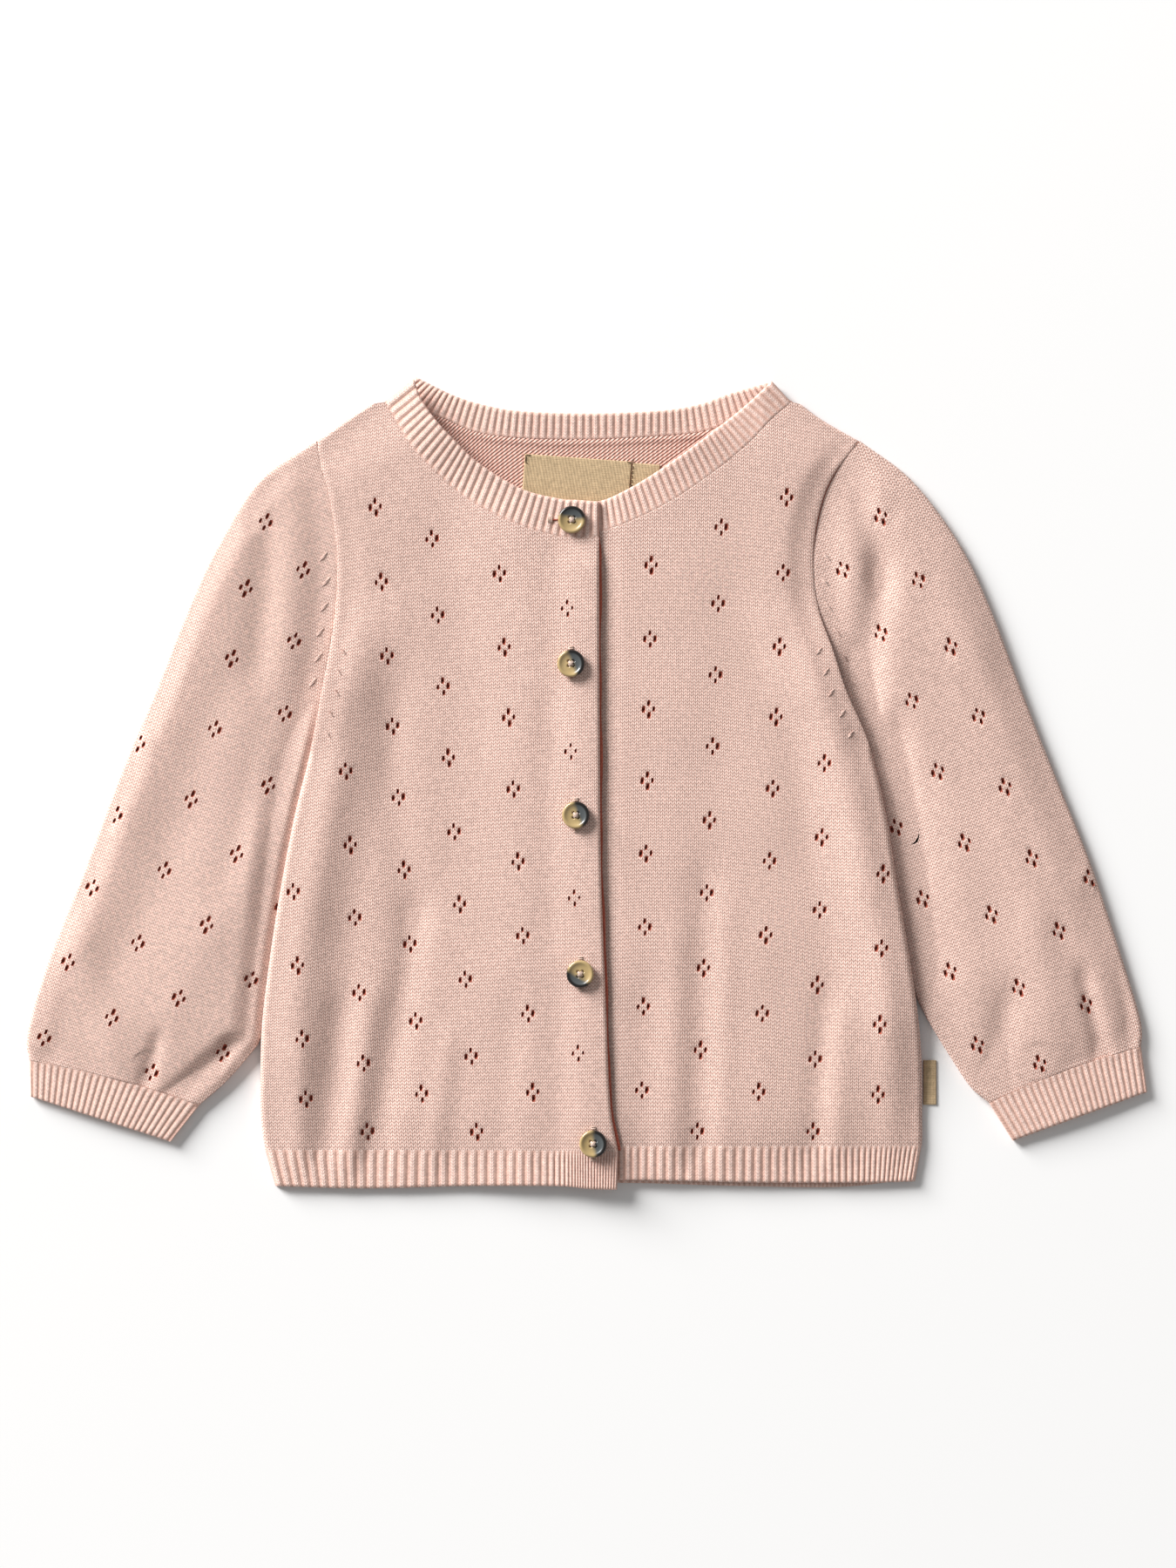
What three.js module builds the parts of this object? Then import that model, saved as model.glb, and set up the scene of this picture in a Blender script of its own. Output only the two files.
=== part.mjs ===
// Baby cardigan of fine cotton knit, buttoned and laid flat with its front up.
// Millimetres. x runs to the viewer's right, y towards the neck and z up from the surface it lies on.
// Right and left in the names of fronts and bands are the wearer's, in sleeves and cuffs the viewer's.
import * as THREE from 'three';

// Cloth
const WALL = 1.4;
const GAP = 0.3;
const RIB_WALL = 1.1;
const RIB_RISE = 0.6;
const LABEL_WALL = 1;
const LAYER = WALL + GAP;

// Ribs and buttons
const HEM_RIB = 2.9;
const NECK_RIB = 3.3;
const BUTTON_DIAMETER = 11.4;
const BUTTON_THICKNESS = 2.6;
const BUTTON_RIM = 1.1;
const BUTTON_DISH = 0.8;
const BUTTON_FOOT = 0.7;
const BUTTON_WAIST = 0.45;
const BUTTON_EDGE = 0.3;

// How the laid cloth stands: air under the fronts and in the sleeves, and where it thins out
const BODY_PUFF = 1.7;
const SLEEVE_PUFF = 3.3;
const SIDE_ROUND = 18;
const SHOULDER_ROUND = 30;
const HEM_ROUND = 28;
const HEM_PUFF = 0.3;
const HEM_Y = -168;
const FOLD_FADE = 6;
const ARMHOLE_ROLL = 1;
const ARMHOLE_ROLL_WIDTH = 8;

// The fronts overlap at the centre, and the body's sides lie over the tucked sleeves
const OVERLAP = 23;
const OVERLAP_EASE = 36;
const OVERLAP_RISE = RIB_WALL + RIB_RISE + GAP;
const TUCK_RISE = 3.5;
const TUCK_FULL = 9;
const TUCK_END = 20;
const UNDERARM_Y = 16.5;
const TUCK_TOP = 56;
const SLEEVE_OUT_Y = { left: -107, right: -92 };
const TUCK_EASE = 20;

// Fineness of the mesh: about how far its rows and columns stand apart in each zone
const LOW_STEP = 14;
const UNDERARM_STEP = 7.5;
const CHEST_STEP = 12;
const NECK_STEP = 5.5;
const YOKE_STEP = 9;
const CHEST_Y = 60;
const LOWEST_LEVEL = -137;
const FRONT_COLUMNS = 11;
const BACK_COLUMNS = 9;
const SLEEVE_RINGS = 15;
const SLEEVE_TOP_STEPS = 12;
const BUTTON_FACETS = 20;
const BAND_SAMPLES = 60;
const PLAIN_HEM_STEPS = 8;

// Fabric colours
const PINK = 0xe9c4b7;
const PINK_RIB = 0xe6bfb2;
const HORN = 0xb58a5c;
const LINEN = 0xcdb491;

const table = (columns, rows) => rows.map((row) =>
  Object.fromEntries(columns.map((column, i) => [column, row[i] ?? 0])));

// Outline of the body: side, armhole and shoulder on each side, at each height
const BODY_EDGE = table(['y', 'left', 'right', 'corner'], [
  [-169, -129, 134.3],
  [-151, -134, 137.7],
  [-138, -135.7, 137.9],
  [-119, -135.7, 137.8],
  [-98.6, -135, 136.3],
  [-69, -131.4, 132],
  [-39.6, -126.7, 127],
  [-12, -121.3, 122.6],
  [UNDERARM_Y, -114.3, 115.6],
  [39.6, -110, 105.8],
  [56, -107, 100.6],
  [72, -104.8, 95],
  [88, -104, 92.9],
  [104, -105, 93.6],
  [120, -107.6, 97.5],
  [130, -110.4, 102.6],
  [141.8, -112.7, 112, 1],
  [151, -99.7, 96],
  [160, -85.6, 84.2],
]);

// Sections of each front: the height at its side, and its end at the centre edge or the neck seam
const RIGHT_FRONT = table(['side', 'x', 'y', 'corner'], [
  [-151.3, 12, -151.3],
  [-134, 9, -134],
  [-90, 7, -90],
  [-36, 5, -36],
  [UNDERARM_Y, 4.5, UNDERARM_Y],
  [60, 4.3, 60],
  [94, 4.3, 102.2, 1],
  [99, -7, 101.8],
  [104, -15, 102.8],
  [112, -33, 108.7],
  [122, -51.5, 118.6],
  [132, -65, 130.7],
  [141.8, -73, 139.3, 1],
  [150, -80, 150.5],
  [157, -84.2, 158],
]);
const LEFT_FRONT = table(['side', 'x', 'y', 'corner'], [
  [-149.6, 12 - OVERLAP, -149.6],
  [-134, 9 - OVERLAP, -134],
  [-90, 7 - OVERLAP, -90],
  [-36, 5 - OVERLAP, -36],
  [UNDERARM_Y, 4.5 - OVERLAP, UNDERARM_Y],
  [60, 4.3 - OVERLAP, 60],
  [90, 4.3 - OVERLAP, 103.5, 1],
  [96, -7, 102.6],
  [101, 5.4, 104.6],
  [107, 17.6, 108.8],
  [113, 30, 114.8],
  [121, 43, 122.8],
  [130, 56, 132.4],
  [141.8, 67, 142, 1],
  [150, 75, 150.6],
  [157, 83.6, 158],
]);

// Neckband sections: the front's section whose neck end it starts from, and a point on its free edge
const RIGHT_NECKBAND = table(['side', 'edgeX', 'edgeY'], [
  [94, 4.3, 116.6],
  [99, -5, 117.3],
  [104, -12, 117.8],
  [112, -28, 122],
  [122, -45.4, 132.5],
  [132, -56, 142.5],
  [141.8, -62.8, 149.8],
  [150, -69.2, 159],
  [157, -72.2, 167.2],
]);
const LEFT_NECKBAND = table(['side', 'edgeX', 'edgeY'], [
  [90, 4.3 - OVERLAP, 117.5],
  [96, -6, 116.4],
  [101, 4.6, 117],
  [107, 14.4, 121],
  [113, 25.2, 127.2],
  [121, 37.4, 135.4],
  [130, 49, 144],
  [141.8, 58.4, 151.2],
  [150, 66.5, 158],
  [157, 75.6, 166.6],
]);
const BACK_NECKBAND = table(['seamX', 'seamY', 'edgeX', 'edgeY'], [
  [-83.6, 158.8, -71.3, 168.4],
  [-61, 151.8, -56.6, 161.2],
  [-48, 146.2, -45, 157.4],
  [-30, 143.4, -29, 154.4],
  [0, 142.8, 0, 153.4],
  [30, 144.2, 30, 154.6],
  [48, 146.2, 46, 157.4],
  [61, 151, 58, 161.6],
  [83.2, 158.8, 75.6, 166.6],
]);

// Hem sections from left to right: the rib's place at the top and at the bottom
const RIGHT_HEM = table(['topX', 'bottomX', 'bottom'], [
  [-134, -129.8, -166.4],
  [-92, -92, -167.3],
  [-50, -50, -166.3],
  [-14, -14, -166.2],
  [0, 0, -167.3],
  [12.1, 11.6, -167.6],
]);
const LEFT_HEM = table(['topX', 'bottomX', 'bottom'], [
  [12 - OVERLAP, 12 - OVERLAP, -163.4],
  [20, 20, -163.9],
  [70, 70, -164.9],
  [110, 110, -165],
  [137.7, 135, -164.4],
]);
const BACK_HEM = table(['topX', 'bottomX', 'bottom'], [
  [-134, -130, -166],
  [0, 0, -165],
  [60, 60, -166.3],
  [105, 105, -166.8],
  [137.7, 134.8, -163.8],
]);
const HEM_TOP = { right: -151.3, left: -149.6, back: -150.6 };

// Neck curve of the back panel
const BACK_NECK = table(['x', 'y'], [
  [-84, 158.4],
  [-61, 151.4],
  [-48, 145.8],
  [-30, 143],
  [0, 142.4],
  [30, 143.8],
  [48, 145.8],
  [61, 150.6],
  [83.6, 158.4],
]);
const YOKE_Y = 138;
const YOKE_STOP = 24;

// Sleeve sections from the armhole to the cuff: a point on the underarm edge and one on the outer edge
const LEFT_SLEEVE = table(['innerX', 'innerY', 'outerX', 'outerY'], [
  [-114.9, 17, -112.9, 142.2],
  [-113.8, 2, -136.5, 125.3],
  [-114.5, -14, -153, 99.4],
  [-117.5, -32, -165.5, 73],
  [-122, -53, -179, 38.9],
  [-127.5, -75.6, -193.5, 4.5],
  [-132.5, -94, -210, -38.9],
  [-136, -106, -221, -66],
  [-141.5, -113.4, -229.3, -90.7],
  [-150.5, -123.5, -232.6, -106],
  [-161, -132.7, -231.6, -114.2],
]);
const RIGHT_SLEEVE = table(['innerX', 'innerY', 'outerX', 'outerY'], [
  [116.2, 17, 112.3, 142.2],
  [114.5, 2, 134.2, 125.3],
  [116.5, -14, 153.4, 99.4],
  [119.5, -30, 166, 73],
  [123, -46, 178.9, 38.9],
  [127, -64, 192.5, 4.5],
  [132.5, -81, 206.5, -30],
  [139, -95.5, 217, -61],
  [149.8, -113.4, 226.4, -90.7],
  [158, -125.5, 228.8, -101.5],
  [165.4, -131.8, 228.5, -108.5],
]);
const CUFF_BOW = 1.8;
const CAP_BLEND = 0.4;
const ARMHOLE_GAP = 0.5;

// Cuff ends below the rib line: a point on the inner edge and one on the outer edge
const LEFT_CUFF_END = { innerX: -173, innerY: -148, outerX: -231.2, outerY: -129.2 };
const RIGHT_CUFF_END = { innerX: 175.3, innerY: -147.6, outerX: 231, outerY: -127.4 };
const CUFF_PUFF = 0.9;

// Largest folds: a soft trough along a line, a ridge where the depth is negative
const BODY_FOLDS = table(['x1', 'y1', 'x2', 'y2', 'width', 'depth'], [
  [-80, 30, -77, -50, 7, 0.9],
  [-73, -58, -88, -148, 7, 1.7],
  [-104, -98, -109, -150, 6, 1.1],
  [48, -45, 45, -148, 7, 1.1],
  [97, -94, 93, -148, 6, 0.8],
  [-32, -100, -36, -146, 7, 0.6],
]);
const SLEEVE_FOLDS = table(['x1', 'y1', 'x2', 'y2', 'width', 'depth'], [
  [-131, 112, -136, 50, 9, 1.6],
  [-168, -20, -205, -92, 11, 1],
  [-150, -108, -172, -128, 6, 1.6],
  [-178, -110, -184, -124, 5, 1],
  [-212, -66, -196, -112, 8, -0.6],
  [204, -82, 212, -112, 6, 1.4],
  [172, -96, 168, -126, 7, 1],
  [150, 90, 186, -30, 12, -0.6],
  [186, -60, 192, -116, 9, -0.5],
]);

const BUTTONS = table(['x', 'y', 'tilt'], [
  [-7, 109, 4],
  [-7.3, 49.7, 9],
  [-5.3, -12.8, 8],
  [-3.5, -78.3, 8],
  [1.8, -148.3, 7],
]);
const NECK_LABEL = { x: -5.2, y: 123.5, width: 44.3, height: 23, turn: -4.2 };
const SIZE_LABEL = { x: 23.2, y: 123, width: 11.3, height: 19, turn: -4.2 };
const SIDE_TAG = { x: 141.2, y: -123.6, width: 5.4, height: 18.4, turn: 0 };

const { smoothstep, lerp, degToRad } = THREE.MathUtils;

// Smooth curve through a table's rows at the place where the key column is t, broken at corner rows
function read(rows, key, column, t) {
  let i = 0;
  while (i < rows.length - 2 && rows[i + 1][key] <= t) i += 1;
  const [a, b] = [rows[i], rows[i + 1]];
  const span = b[key] - a[key];
  const slope = (p, q) => (q[column] - p[column]) / (q[key] - p[key]);
  const before = i > 0 && !a.corner ? slope(rows[i - 1], b) : slope(a, b);
  const after = i + 2 < rows.length && !b.corner ? slope(a, rows[i + 2]) : slope(a, b);
  const s = (t - a[key]) / span;
  const straight = slope(a, b);
  const swing = s * (1 - s) * span * ((1 - s) * (before - straight) - s * (after - straight));
  return lerp(a[column], b[column], s) + swing;
}

// The same for tables read by the row's place, from 0 at the first row to 1 at the last
const numbered = (rows) => rows.map((row, i) => ({ ...row, at: i / (rows.length - 1) }));
const readRow = (rows, column, t) => read(rows, 'at', column, t);

const edgeX = (side, y) => read(BODY_EDGE, 'y', side, y);
const insideSide = (x, y) => Math.min(x - edgeX('left', y), edgeX('right', y) - x);

// Height of the shoulder line, level across the neck
const SHOULDER = { tipX: 112.5, tipY: 141.8, neckX: 72, neckY: 168.5 };
function shoulderY(x) {
  const t = (SHOULDER.tipX - Math.abs(x)) / (SHOULDER.tipX - SHOULDER.neckX);
  return lerp(SHOULDER.tipY, SHOULDER.neckY, THREE.MathUtils.clamp(t, 0, 1));
}

// Depth of all folds at a place: a round trough across each line, fading out past its ends
function foldDepth(folds, x, y) {
  let depth = 0;
  for (const fold of folds) {
    const [dx, dy] = [fold.x2 - fold.x1, fold.y2 - fold.y1];
    const length = Math.hypot(dx, dy);
    const along = ((x - fold.x1) * dx + (y - fold.y1) * dy) / length;
    const across = ((x - fold.x1) * dy - (y - fold.y1) * dx) / length;
    const past = Math.max(0, -along, along - length);
    depth += fold.depth * Math.exp(-((across / fold.width) ** 2) - (past / (2 * fold.width)) ** 2);
  }
  return depth;
}

// Height of the back panel's underside: on the surface, but lifted where a sleeve lies tucked below it
function backUnder(x, y) {
  const out = x < 0 ? SLEEVE_OUT_Y.left : SLEEVE_OUT_Y.right;
  const beside = 1 - smoothstep(insideSide(x, y), TUCK_FULL, TUCK_END);
  const below = smoothstep(y, out - TUCK_EASE, out) * (1 - smoothstep(y, TUCK_TOP - TUCK_EASE, TUCK_TOP));
  return TUCK_RISE * beside * below;
}

// Height of a front's underside over the back, with the second layer of the overlap if it is the upper
function frontUnder(x, y, upper) {
  const side = insideSide(x, y);
  const round = smoothstep(side, 0, SIDE_ROUND) * smoothstep(shoulderY(x) - y, 0, SHOULDER_ROUND);
  const hem = lerp(HEM_PUFF, 1, smoothstep(y, HEM_Y, HEM_Y + HEM_ROUND));
  const roll = ARMHOLE_ROLL * (1 - smoothstep(side, 0, ARMHOLE_ROLL_WIDTH))
    * smoothstep(y, UNDERARM_Y, TUCK_TOP) * smoothstep(shoulderY(x) - y, 0, SHOULDER_ROUND);
  const over = upper ? OVERLAP_RISE * smoothstep(x, -OVERLAP - OVERLAP_EASE, -OVERLAP) : 0;
  const air = BODY_PUFF * round * hem + roll - foldDepth(BODY_FOLDS, x, y) * smoothstep(side, 0, FOLD_FADE);
  return backUnder(x, y) + LAYER + over + Math.max(0, air);
}

// A closed solid from a grid of places, each with its top and underside
function slab(name, grid, color) {
  const rows = grid.length;
  const columns = grid[0].length;
  const layer = rows * columns;
  const positions = [];
  for (const part of ['top', 'under']) {
    for (const row of grid) {
      for (const place of row) positions.push(place.x, place.y, place[part]);
    }
  }
  const index = [];
  const quad = (a, b, c, d) => index.push(a, b, c, a, c, d);
  const at = (i, j) => i * columns + j;
  for (let i = 0; i + 1 < rows; i += 1) {
    for (let j = 0; j + 1 < columns; j += 1) {
      quad(at(i, j), at(i, j + 1), at(i + 1, j + 1), at(i + 1, j));
      quad(layer + at(i, j), layer + at(i + 1, j), layer + at(i + 1, j + 1), layer + at(i, j + 1));
    }
  }
  const rim = [];
  for (let j = 0; j + 1 < columns; j += 1) rim.push(at(0, j));
  for (let i = 0; i + 1 < rows; i += 1) rim.push(at(i, columns - 1));
  for (let j = columns - 1; j > 0; j -= 1) rim.push(at(rows - 1, j));
  for (let i = rows - 1; i > 0; i -= 1) rim.push(at(i, 0));
  rim.forEach((a, k) => {
    const b = rim[(k + 1) % rim.length];
    quad(a, layer + a, layer + b, b);
  });
  return mesh(name, positions, index, color);
}

// A mesh with its faces pointing out, whichever way its grid was walked
function mesh(name, positions, index, color, roughness = 0.95) {
  const geometry = new THREE.BufferGeometry();
  geometry.setAttribute('position', new THREE.Float32BufferAttribute(positions, 3));
  geometry.setIndex(index);
  const corner = (k) => new THREE.Vector3().fromBufferAttribute(geometry.attributes.position, index[k]);
  let volume = 0;
  for (let k = 0; k < index.length; k += 3) volume += corner(k).dot(corner(k + 1).cross(corner(k + 2)));
  if (volume < 0) geometry.setIndex(index.reverse());
  geometry.computeVertexNormals();
  const material = new THREE.MeshStandardMaterial({ color, roughness, metalness: 0 });
  const piece = new THREE.Mesh(geometry, material);
  piece.name = name;
  return piece;
}

const steps = (count) => Array.from({ length: count + 1 }, (_, i) => i / count);

// Spread of values that always holds the given stops, with about the given step between them
function spread(stops, step) {
  const values = [stops[0]];
  for (let i = 1; i < stops.length; i += 1) {
    const count = Math.max(1, Math.round((stops[i] - stops[i - 1]) / step));
    for (let k = 1; k <= count; k += 1) values.push(lerp(stops[i - 1], stops[i], k / count));
  }
  return values;
}

// Rows that all body panels share up to the chest, and places near the side where the cloth is lifted
const LEVELS = [
  ...spread([LOWEST_LEVEL, UNDERARM_Y], LOW_STEP),
  ...spread([UNDERARM_Y, CHEST_Y], UNDERARM_STEP).slice(1),
];
const SIDE_STOPS = [0, 4.5, TUCK_FULL, 14.5, TUCK_END];

// Fronts: sections from the side to the centre, each a straight line in plan
function front(name, rows, side, upper) {
  const corners = rows.filter((row) => row.corner).map((row) => row.side);
  const heights = [
    rows[0].side,
    ...LEVELS,
    ...spread([CHEST_Y, corners[0]], CHEST_STEP).slice(1),
    ...spread([...corners, rows.at(-1).side], NECK_STEP).slice(1),
  ];
  const grid = heights.map((height) => {
    const [startX, startY] = [edgeX(side, height), height];
    const [endX, endY] = [read(rows, 'side', 'x', height), read(rows, 'side', 'y', height)];
    const length = Math.hypot(endX - startX, endY - startY);
    const squeeze = Math.min(1, length / (2 * TUCK_END));
    const stops = SIDE_STOPS.map((stop) => (stop * squeeze) / length);
    const first = stops.at(-1);
    const across = [...stops, ...steps(FRONT_COLUMNS).slice(1).map((s) => lerp(first, 1, s))];
    const row = across.map((s) => {
      const [x, y] = [lerp(startX, endX, s), lerp(startY, endY, s)];
      const under = frontUnder(x, y, upper);
      return { x, y, under, top: under + WALL };
    });
    return side === 'left' ? row : row.reverse();
  });
  return slab(name, grid, PINK);
}

// Back panel: level rows up to the yoke, then rows that bend into the shoulders and the neck curve
function backPanel() {
  const neck = { from: BACK_NECK[0], to: BACK_NECK.at(-1) };
  const slope = (neck.from.y - SHOULDER.tipY) / (SHOULDER.tipX - neck.to.x);
  const neckLine = (x) => (x < neck.from.x || x > neck.to.x
    ? SHOULDER.tipY + slope * (SHOULDER.tipX - Math.abs(x))
    : read(BACK_NECK, 'x', 'y', x));
  const level = [HEM_TOP.back, ...LEVELS, ...spread([CHEST_Y, YOKE_Y], YOKE_STEP).slice(1)];
  const grid = [...level, null].map((y) => {
    const [left, right] = [edgeX('left', y ?? YOKE_Y), edgeX('right', y ?? YOKE_Y)];
    const across = [
      ...SIDE_STOPS.map((stop) => left + stop),
      Math.max(neck.from.x, left + YOKE_STOP),
      ...steps(BACK_COLUMNS).map((s) => lerp(BACK_NECK[1].x, BACK_NECK.at(-2).x, s)),
      Math.min(neck.to.x, right - YOKE_STOP),
      ...SIDE_STOPS.map((stop) => right - stop).reverse(),
    ];
    return across.map((x) => {
      const place = { x, y: y ?? neckLine(x) };
      place.under = backUnder(x, place.y);
      place.top = place.under + WALL;
      return place;
    });
  });
  return slab('back_panel', grid, PINK);
}

// Ribbed strip: two lines of places, with a crest and a valley for each rib on its top
function ribStrip(name, count, line, wall, ribs = true) {
  const grid = [0, 1].map((across) => steps(count * 2).map((t, k) => {
    const place = line(t, across);
    const crest = ribs && k % 2 === 1 ? RIB_RISE : 0;
    return { ...place, top: place.under + wall + crest };
  }));
  return slab(name, grid, PINK_RIB);
}

function hem(name, rows, top, height, ribs) {
  const sections = numbered(rows);
  const width = rows.at(-1).topX - rows[0].topX;
  const count = ribs ? Math.round(width / HEM_RIB) : PLAIN_HEM_STEPS;
  return ribStrip(name, count, (t, across) => {
    const x = lerp(readRow(sections, 'topX', t), readRow(sections, 'bottomX', t), across);
    const y = lerp(top - GAP, readRow(sections, 'bottom', t), across);
    return { x, y, under: height(x, y) };
  }, ribs ? RIB_WALL : WALL, ribs);
}

// Neckband: evenly ribbed along its seam, which keeps clear of the panel it is sewn to
const SEAM_CLEAR = 0.45;
function neckband(name, rows, height) {
  const sections = numbered(rows);
  const ends = steps(BAND_SAMPLES).map((t) => ({
    at: t,
    x: readRow(sections, 'seamX', t),
    y: readRow(sections, 'seamY', t),
  }));
  let length = 0;
  ends.forEach((end, i) => {
    length += i ? Math.hypot(end.x - ends[i - 1].x, end.y - ends[i - 1].y) : 0;
    end.length = length;
  });
  const evenly = (t) => read(ends, 'length', 'at', t * length);
  return ribStrip(name, Math.round(length / NECK_RIB), (t, across) => {
    const at = evenly(t);
    const seam = [readRow(sections, 'seamX', at), readRow(sections, 'seamY', at)];
    const edge = [readRow(sections, 'edgeX', at), readRow(sections, 'edgeY', at)];
    const clear = SEAM_CLEAR / Math.hypot(edge[0] - seam[0], edge[1] - seam[1]);
    const [x, y] = seam.map((value, i) => lerp(value, edge[i], lerp(clear, 1, across)));
    return { x, y, under: height(x, y, across) };
  }, RIB_WALL);
}

// A front's band takes its seam from the neck ends of the front's sections
const onFront = (sections, rows) => rows.map((row) => ({
  ...row,
  seamX: read(sections, 'side', 'x', row.side),
  seamY: read(sections, 'side', 'y', row.side),
}));

// Front bands rise a little towards the shoulders, where they lie on the back band
const BAND_LIFT = { height: 0.8, from: 120, to: 150 };
const bandLift = (y) => BAND_LIFT.height * smoothstep(y, BAND_LIFT.from, BAND_LIFT.to);
const bandUnder = (upper) => (x, y) => frontUnder(x, y, upper) + bandLift(y);

// The back band curls up at its free edge behind the labels
const BACK_CURL = { height: 2.2, from: 25, to: 48 };
const backBandUnder = (x, y, across) => across * BACK_CURL.height
  * (1 - smoothstep(Math.abs(x), BACK_CURL.from, BACK_CURL.to));

// One flattened tube, closed round and open at both ends: rings of outer and inner places
function tube(name, rings, color) {
  const count = rings[0].length;
  const positions = [];
  for (const part of ['outer', 'inner']) {
    for (const ring of rings) {
      for (const place of ring) positions.push(...place[part]);
    }
  }
  const layer = rings.length * count;
  const index = [];
  const quad = (a, b, c, d) => index.push(a, b, c, a, c, d);
  for (let k = 0; k < count; k += 1) {
    const next = (k + 1) % count;
    for (let i = 0; i + 1 < rings.length; i += 1) {
      const [a, b] = [i * count + k, i * count + next];
      quad(a, b, b + count, a + count);
      quad(layer + a, layer + a + count, layer + b + count, layer + b);
    }
    const last = (rings.length - 1) * count;
    quad(k, layer + k, layer + next, next);
    quad(last + k, last + next, layer + last + next, layer + last + k);
  }
  return mesh(name, positions, index, color);
}

// Ring of a flattened tube: out along the surface, round the edge and back over the top
const EDGE_ROUND = 1.1;
const FLOOR_STEPS = 12;
function ring(topSteps, width, plan, top, rise = () => 0) {
  const places = [];
  const put = (s, inset, outerZ, innerZ) => {
    const [ox, oy] = plan(s);
    const [ix, iy] = plan(inset);
    places.push({ outer: [ox, oy, outerZ], inner: [ix, iy, innerZ] });
  };
  const middle = WALL + GAP / 2;
  const pull = WALL / width;
  const shrink = (s) => lerp(pull + EDGE_ROUND / width, 1 - pull - EDGE_ROUND / width, s);
  const out = (s) => lerp(EDGE_ROUND / width, 1 - EDGE_ROUND / width, s);
  put(0, pull, middle, middle);
  for (const s of steps(FLOOR_STEPS)) put(out(s), shrink(s), 0, WALL);
  put(1, 1 - pull, middle, middle);
  steps(topSteps).reverse().forEach((s, k) => {
    const z = top(out(s));
    put(out(s), shrink(s), z + WALL + rise(k), top(shrink(s)));
  });
  return places;
}

const SLEEVE_ROUND = { left: 12, right: 17 };
const OUTER_START = 3;
const OUTER_ROUND = 13;
const CUFF_EASE = 0.86;

// Height of the upper layer's underside in a sleeve: low by the body and the edges, round between them
function sleeveTop(side, x, y, toInner, toOuter, v) {
  const beyond = side === 'left' ? edgeX('left', y) - x : x - edgeX('right', y);
  const inner = Math.max(0, Math.min(beyond, toInner));
  const round = smoothstep(inner, 0, SLEEVE_ROUND[side]) * smoothstep(toOuter, -OUTER_START, OUTER_ROUND);
  const cuff = lerp(1, CUFF_PUFF / SLEEVE_PUFF, smoothstep(v, CUFF_EASE, 1));
  const fade = smoothstep(inner, 0, FOLD_FADE) * smoothstep(toOuter, 0, FOLD_FADE);
  return LAYER + Math.max(0, SLEEVE_PUFF * round * cuff - foldDepth(SLEEVE_FOLDS, x, y) * fade);
}

// Plan of a sleeve: straight sections, bent into the armhole curve at the top and bowed at the cuff
function sleevePlan(side, rows, v) {
  const end = (name) => [readRow(rows, `${name}X`, v), readRow(rows, `${name}Y`, v)];
  const [inner, outer] = [end('inner'), end('outer')];
  const sign = side === 'left' ? -1 : 1;
  const cap = 1 - smoothstep(v, 0, CAP_BLEND);
  const bow = smoothstep(v, CUFF_EASE, 1) * CUFF_BOW;
  return (s) => {
    const y0 = lerp(rows[0].innerY, rows[0].outerY, s);
    const armhole = edgeX(side, Math.min(y0, SHOULDER.tipY - GAP)) + sign * ARMHOLE_GAP;
    const x = lerp(inner[0], outer[0], s) + (armhole - lerp(rows[0].innerX, rows[0].outerX, s)) * cap;
    return [x, lerp(inner[1], outer[1], s) + bow * Math.sin(Math.PI * s)];
  };
}

function sleeve(name, side, sections) {
  const rows = numbered(sections);
  const rings = steps(SLEEVE_RINGS).map((v) => {
    const plan = sleevePlan(side, rows, v);
    const [a, b] = [plan(0), plan(1)];
    const width = Math.hypot(b[0] - a[0], b[1] - a[1]);
    const top = (s) => sleeveTop(side, ...plan(s), s * width, (1 - s) * width, v);
    return ring(SLEEVE_TOP_STEPS, width, plan, top);
  });
  return tube(name, rings, PINK);
}

// Cuff: a ribbed tube from the sleeve's end to the cuff end, ribs on its upper side
const CUFF_CLEAR = GAP * 1.3;
function cuff(name, side, sections, end) {
  const rows = numbered(sections);
  const start = sleevePlan(side, rows, 1);
  const [a, b] = [start(0), start(1)];
  const width = Math.hypot(b[0] - a[0], b[1] - a[1]);
  const ribs = Math.round(width / HEM_RIB);
  const finish = (s) => [lerp(end.innerX, end.outerX, s), lerp(end.innerY, end.outerY, s)];
  const rings = [0, 1].map((t) => {
    const first = CUFF_CLEAR / Math.hypot(end.innerX - a[0], end.innerY - a[1]);
    const along = lerp(first, 1, t);
    const plan = (s) => {
      const [p, q] = [start(s), finish(s)];
      return [lerp(p[0], q[0], along), lerp(p[1], q[1], along)];
    };
    const top = (s) => LAYER + CUFF_PUFF * Math.sin(Math.PI * s);
    return ring(ribs * 2, width, plan, top, (k) => (k % 2 === 1 ? RIB_RISE : 0));
  });
  return tube(name, rings, PINK_RIB);
}

// Sew-through button: a turned disc with a raised rim round a dished face, tilted on the cloth
const HALF_WIDTH = BUTTON_DIAMETER / 2;
const BUTTON_PROFILE = [
  [0, 0],
  [HALF_WIDTH * BUTTON_FOOT, 0],
  [HALF_WIDTH, BUTTON_THICKNESS * BUTTON_WAIST],
  [HALF_WIDTH - BUTTON_EDGE, BUTTON_THICKNESS - BUTTON_EDGE],
  [HALF_WIDTH - BUTTON_RIM / 2, BUTTON_THICKNESS],
  [HALF_WIDTH - BUTTON_RIM - BUTTON_DISH, BUTTON_THICKNESS - BUTTON_DISH],
  [0, BUTTON_THICKNESS - BUTTON_DISH],
].map(([r, z]) => new THREE.Vector2(r, z));

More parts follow.
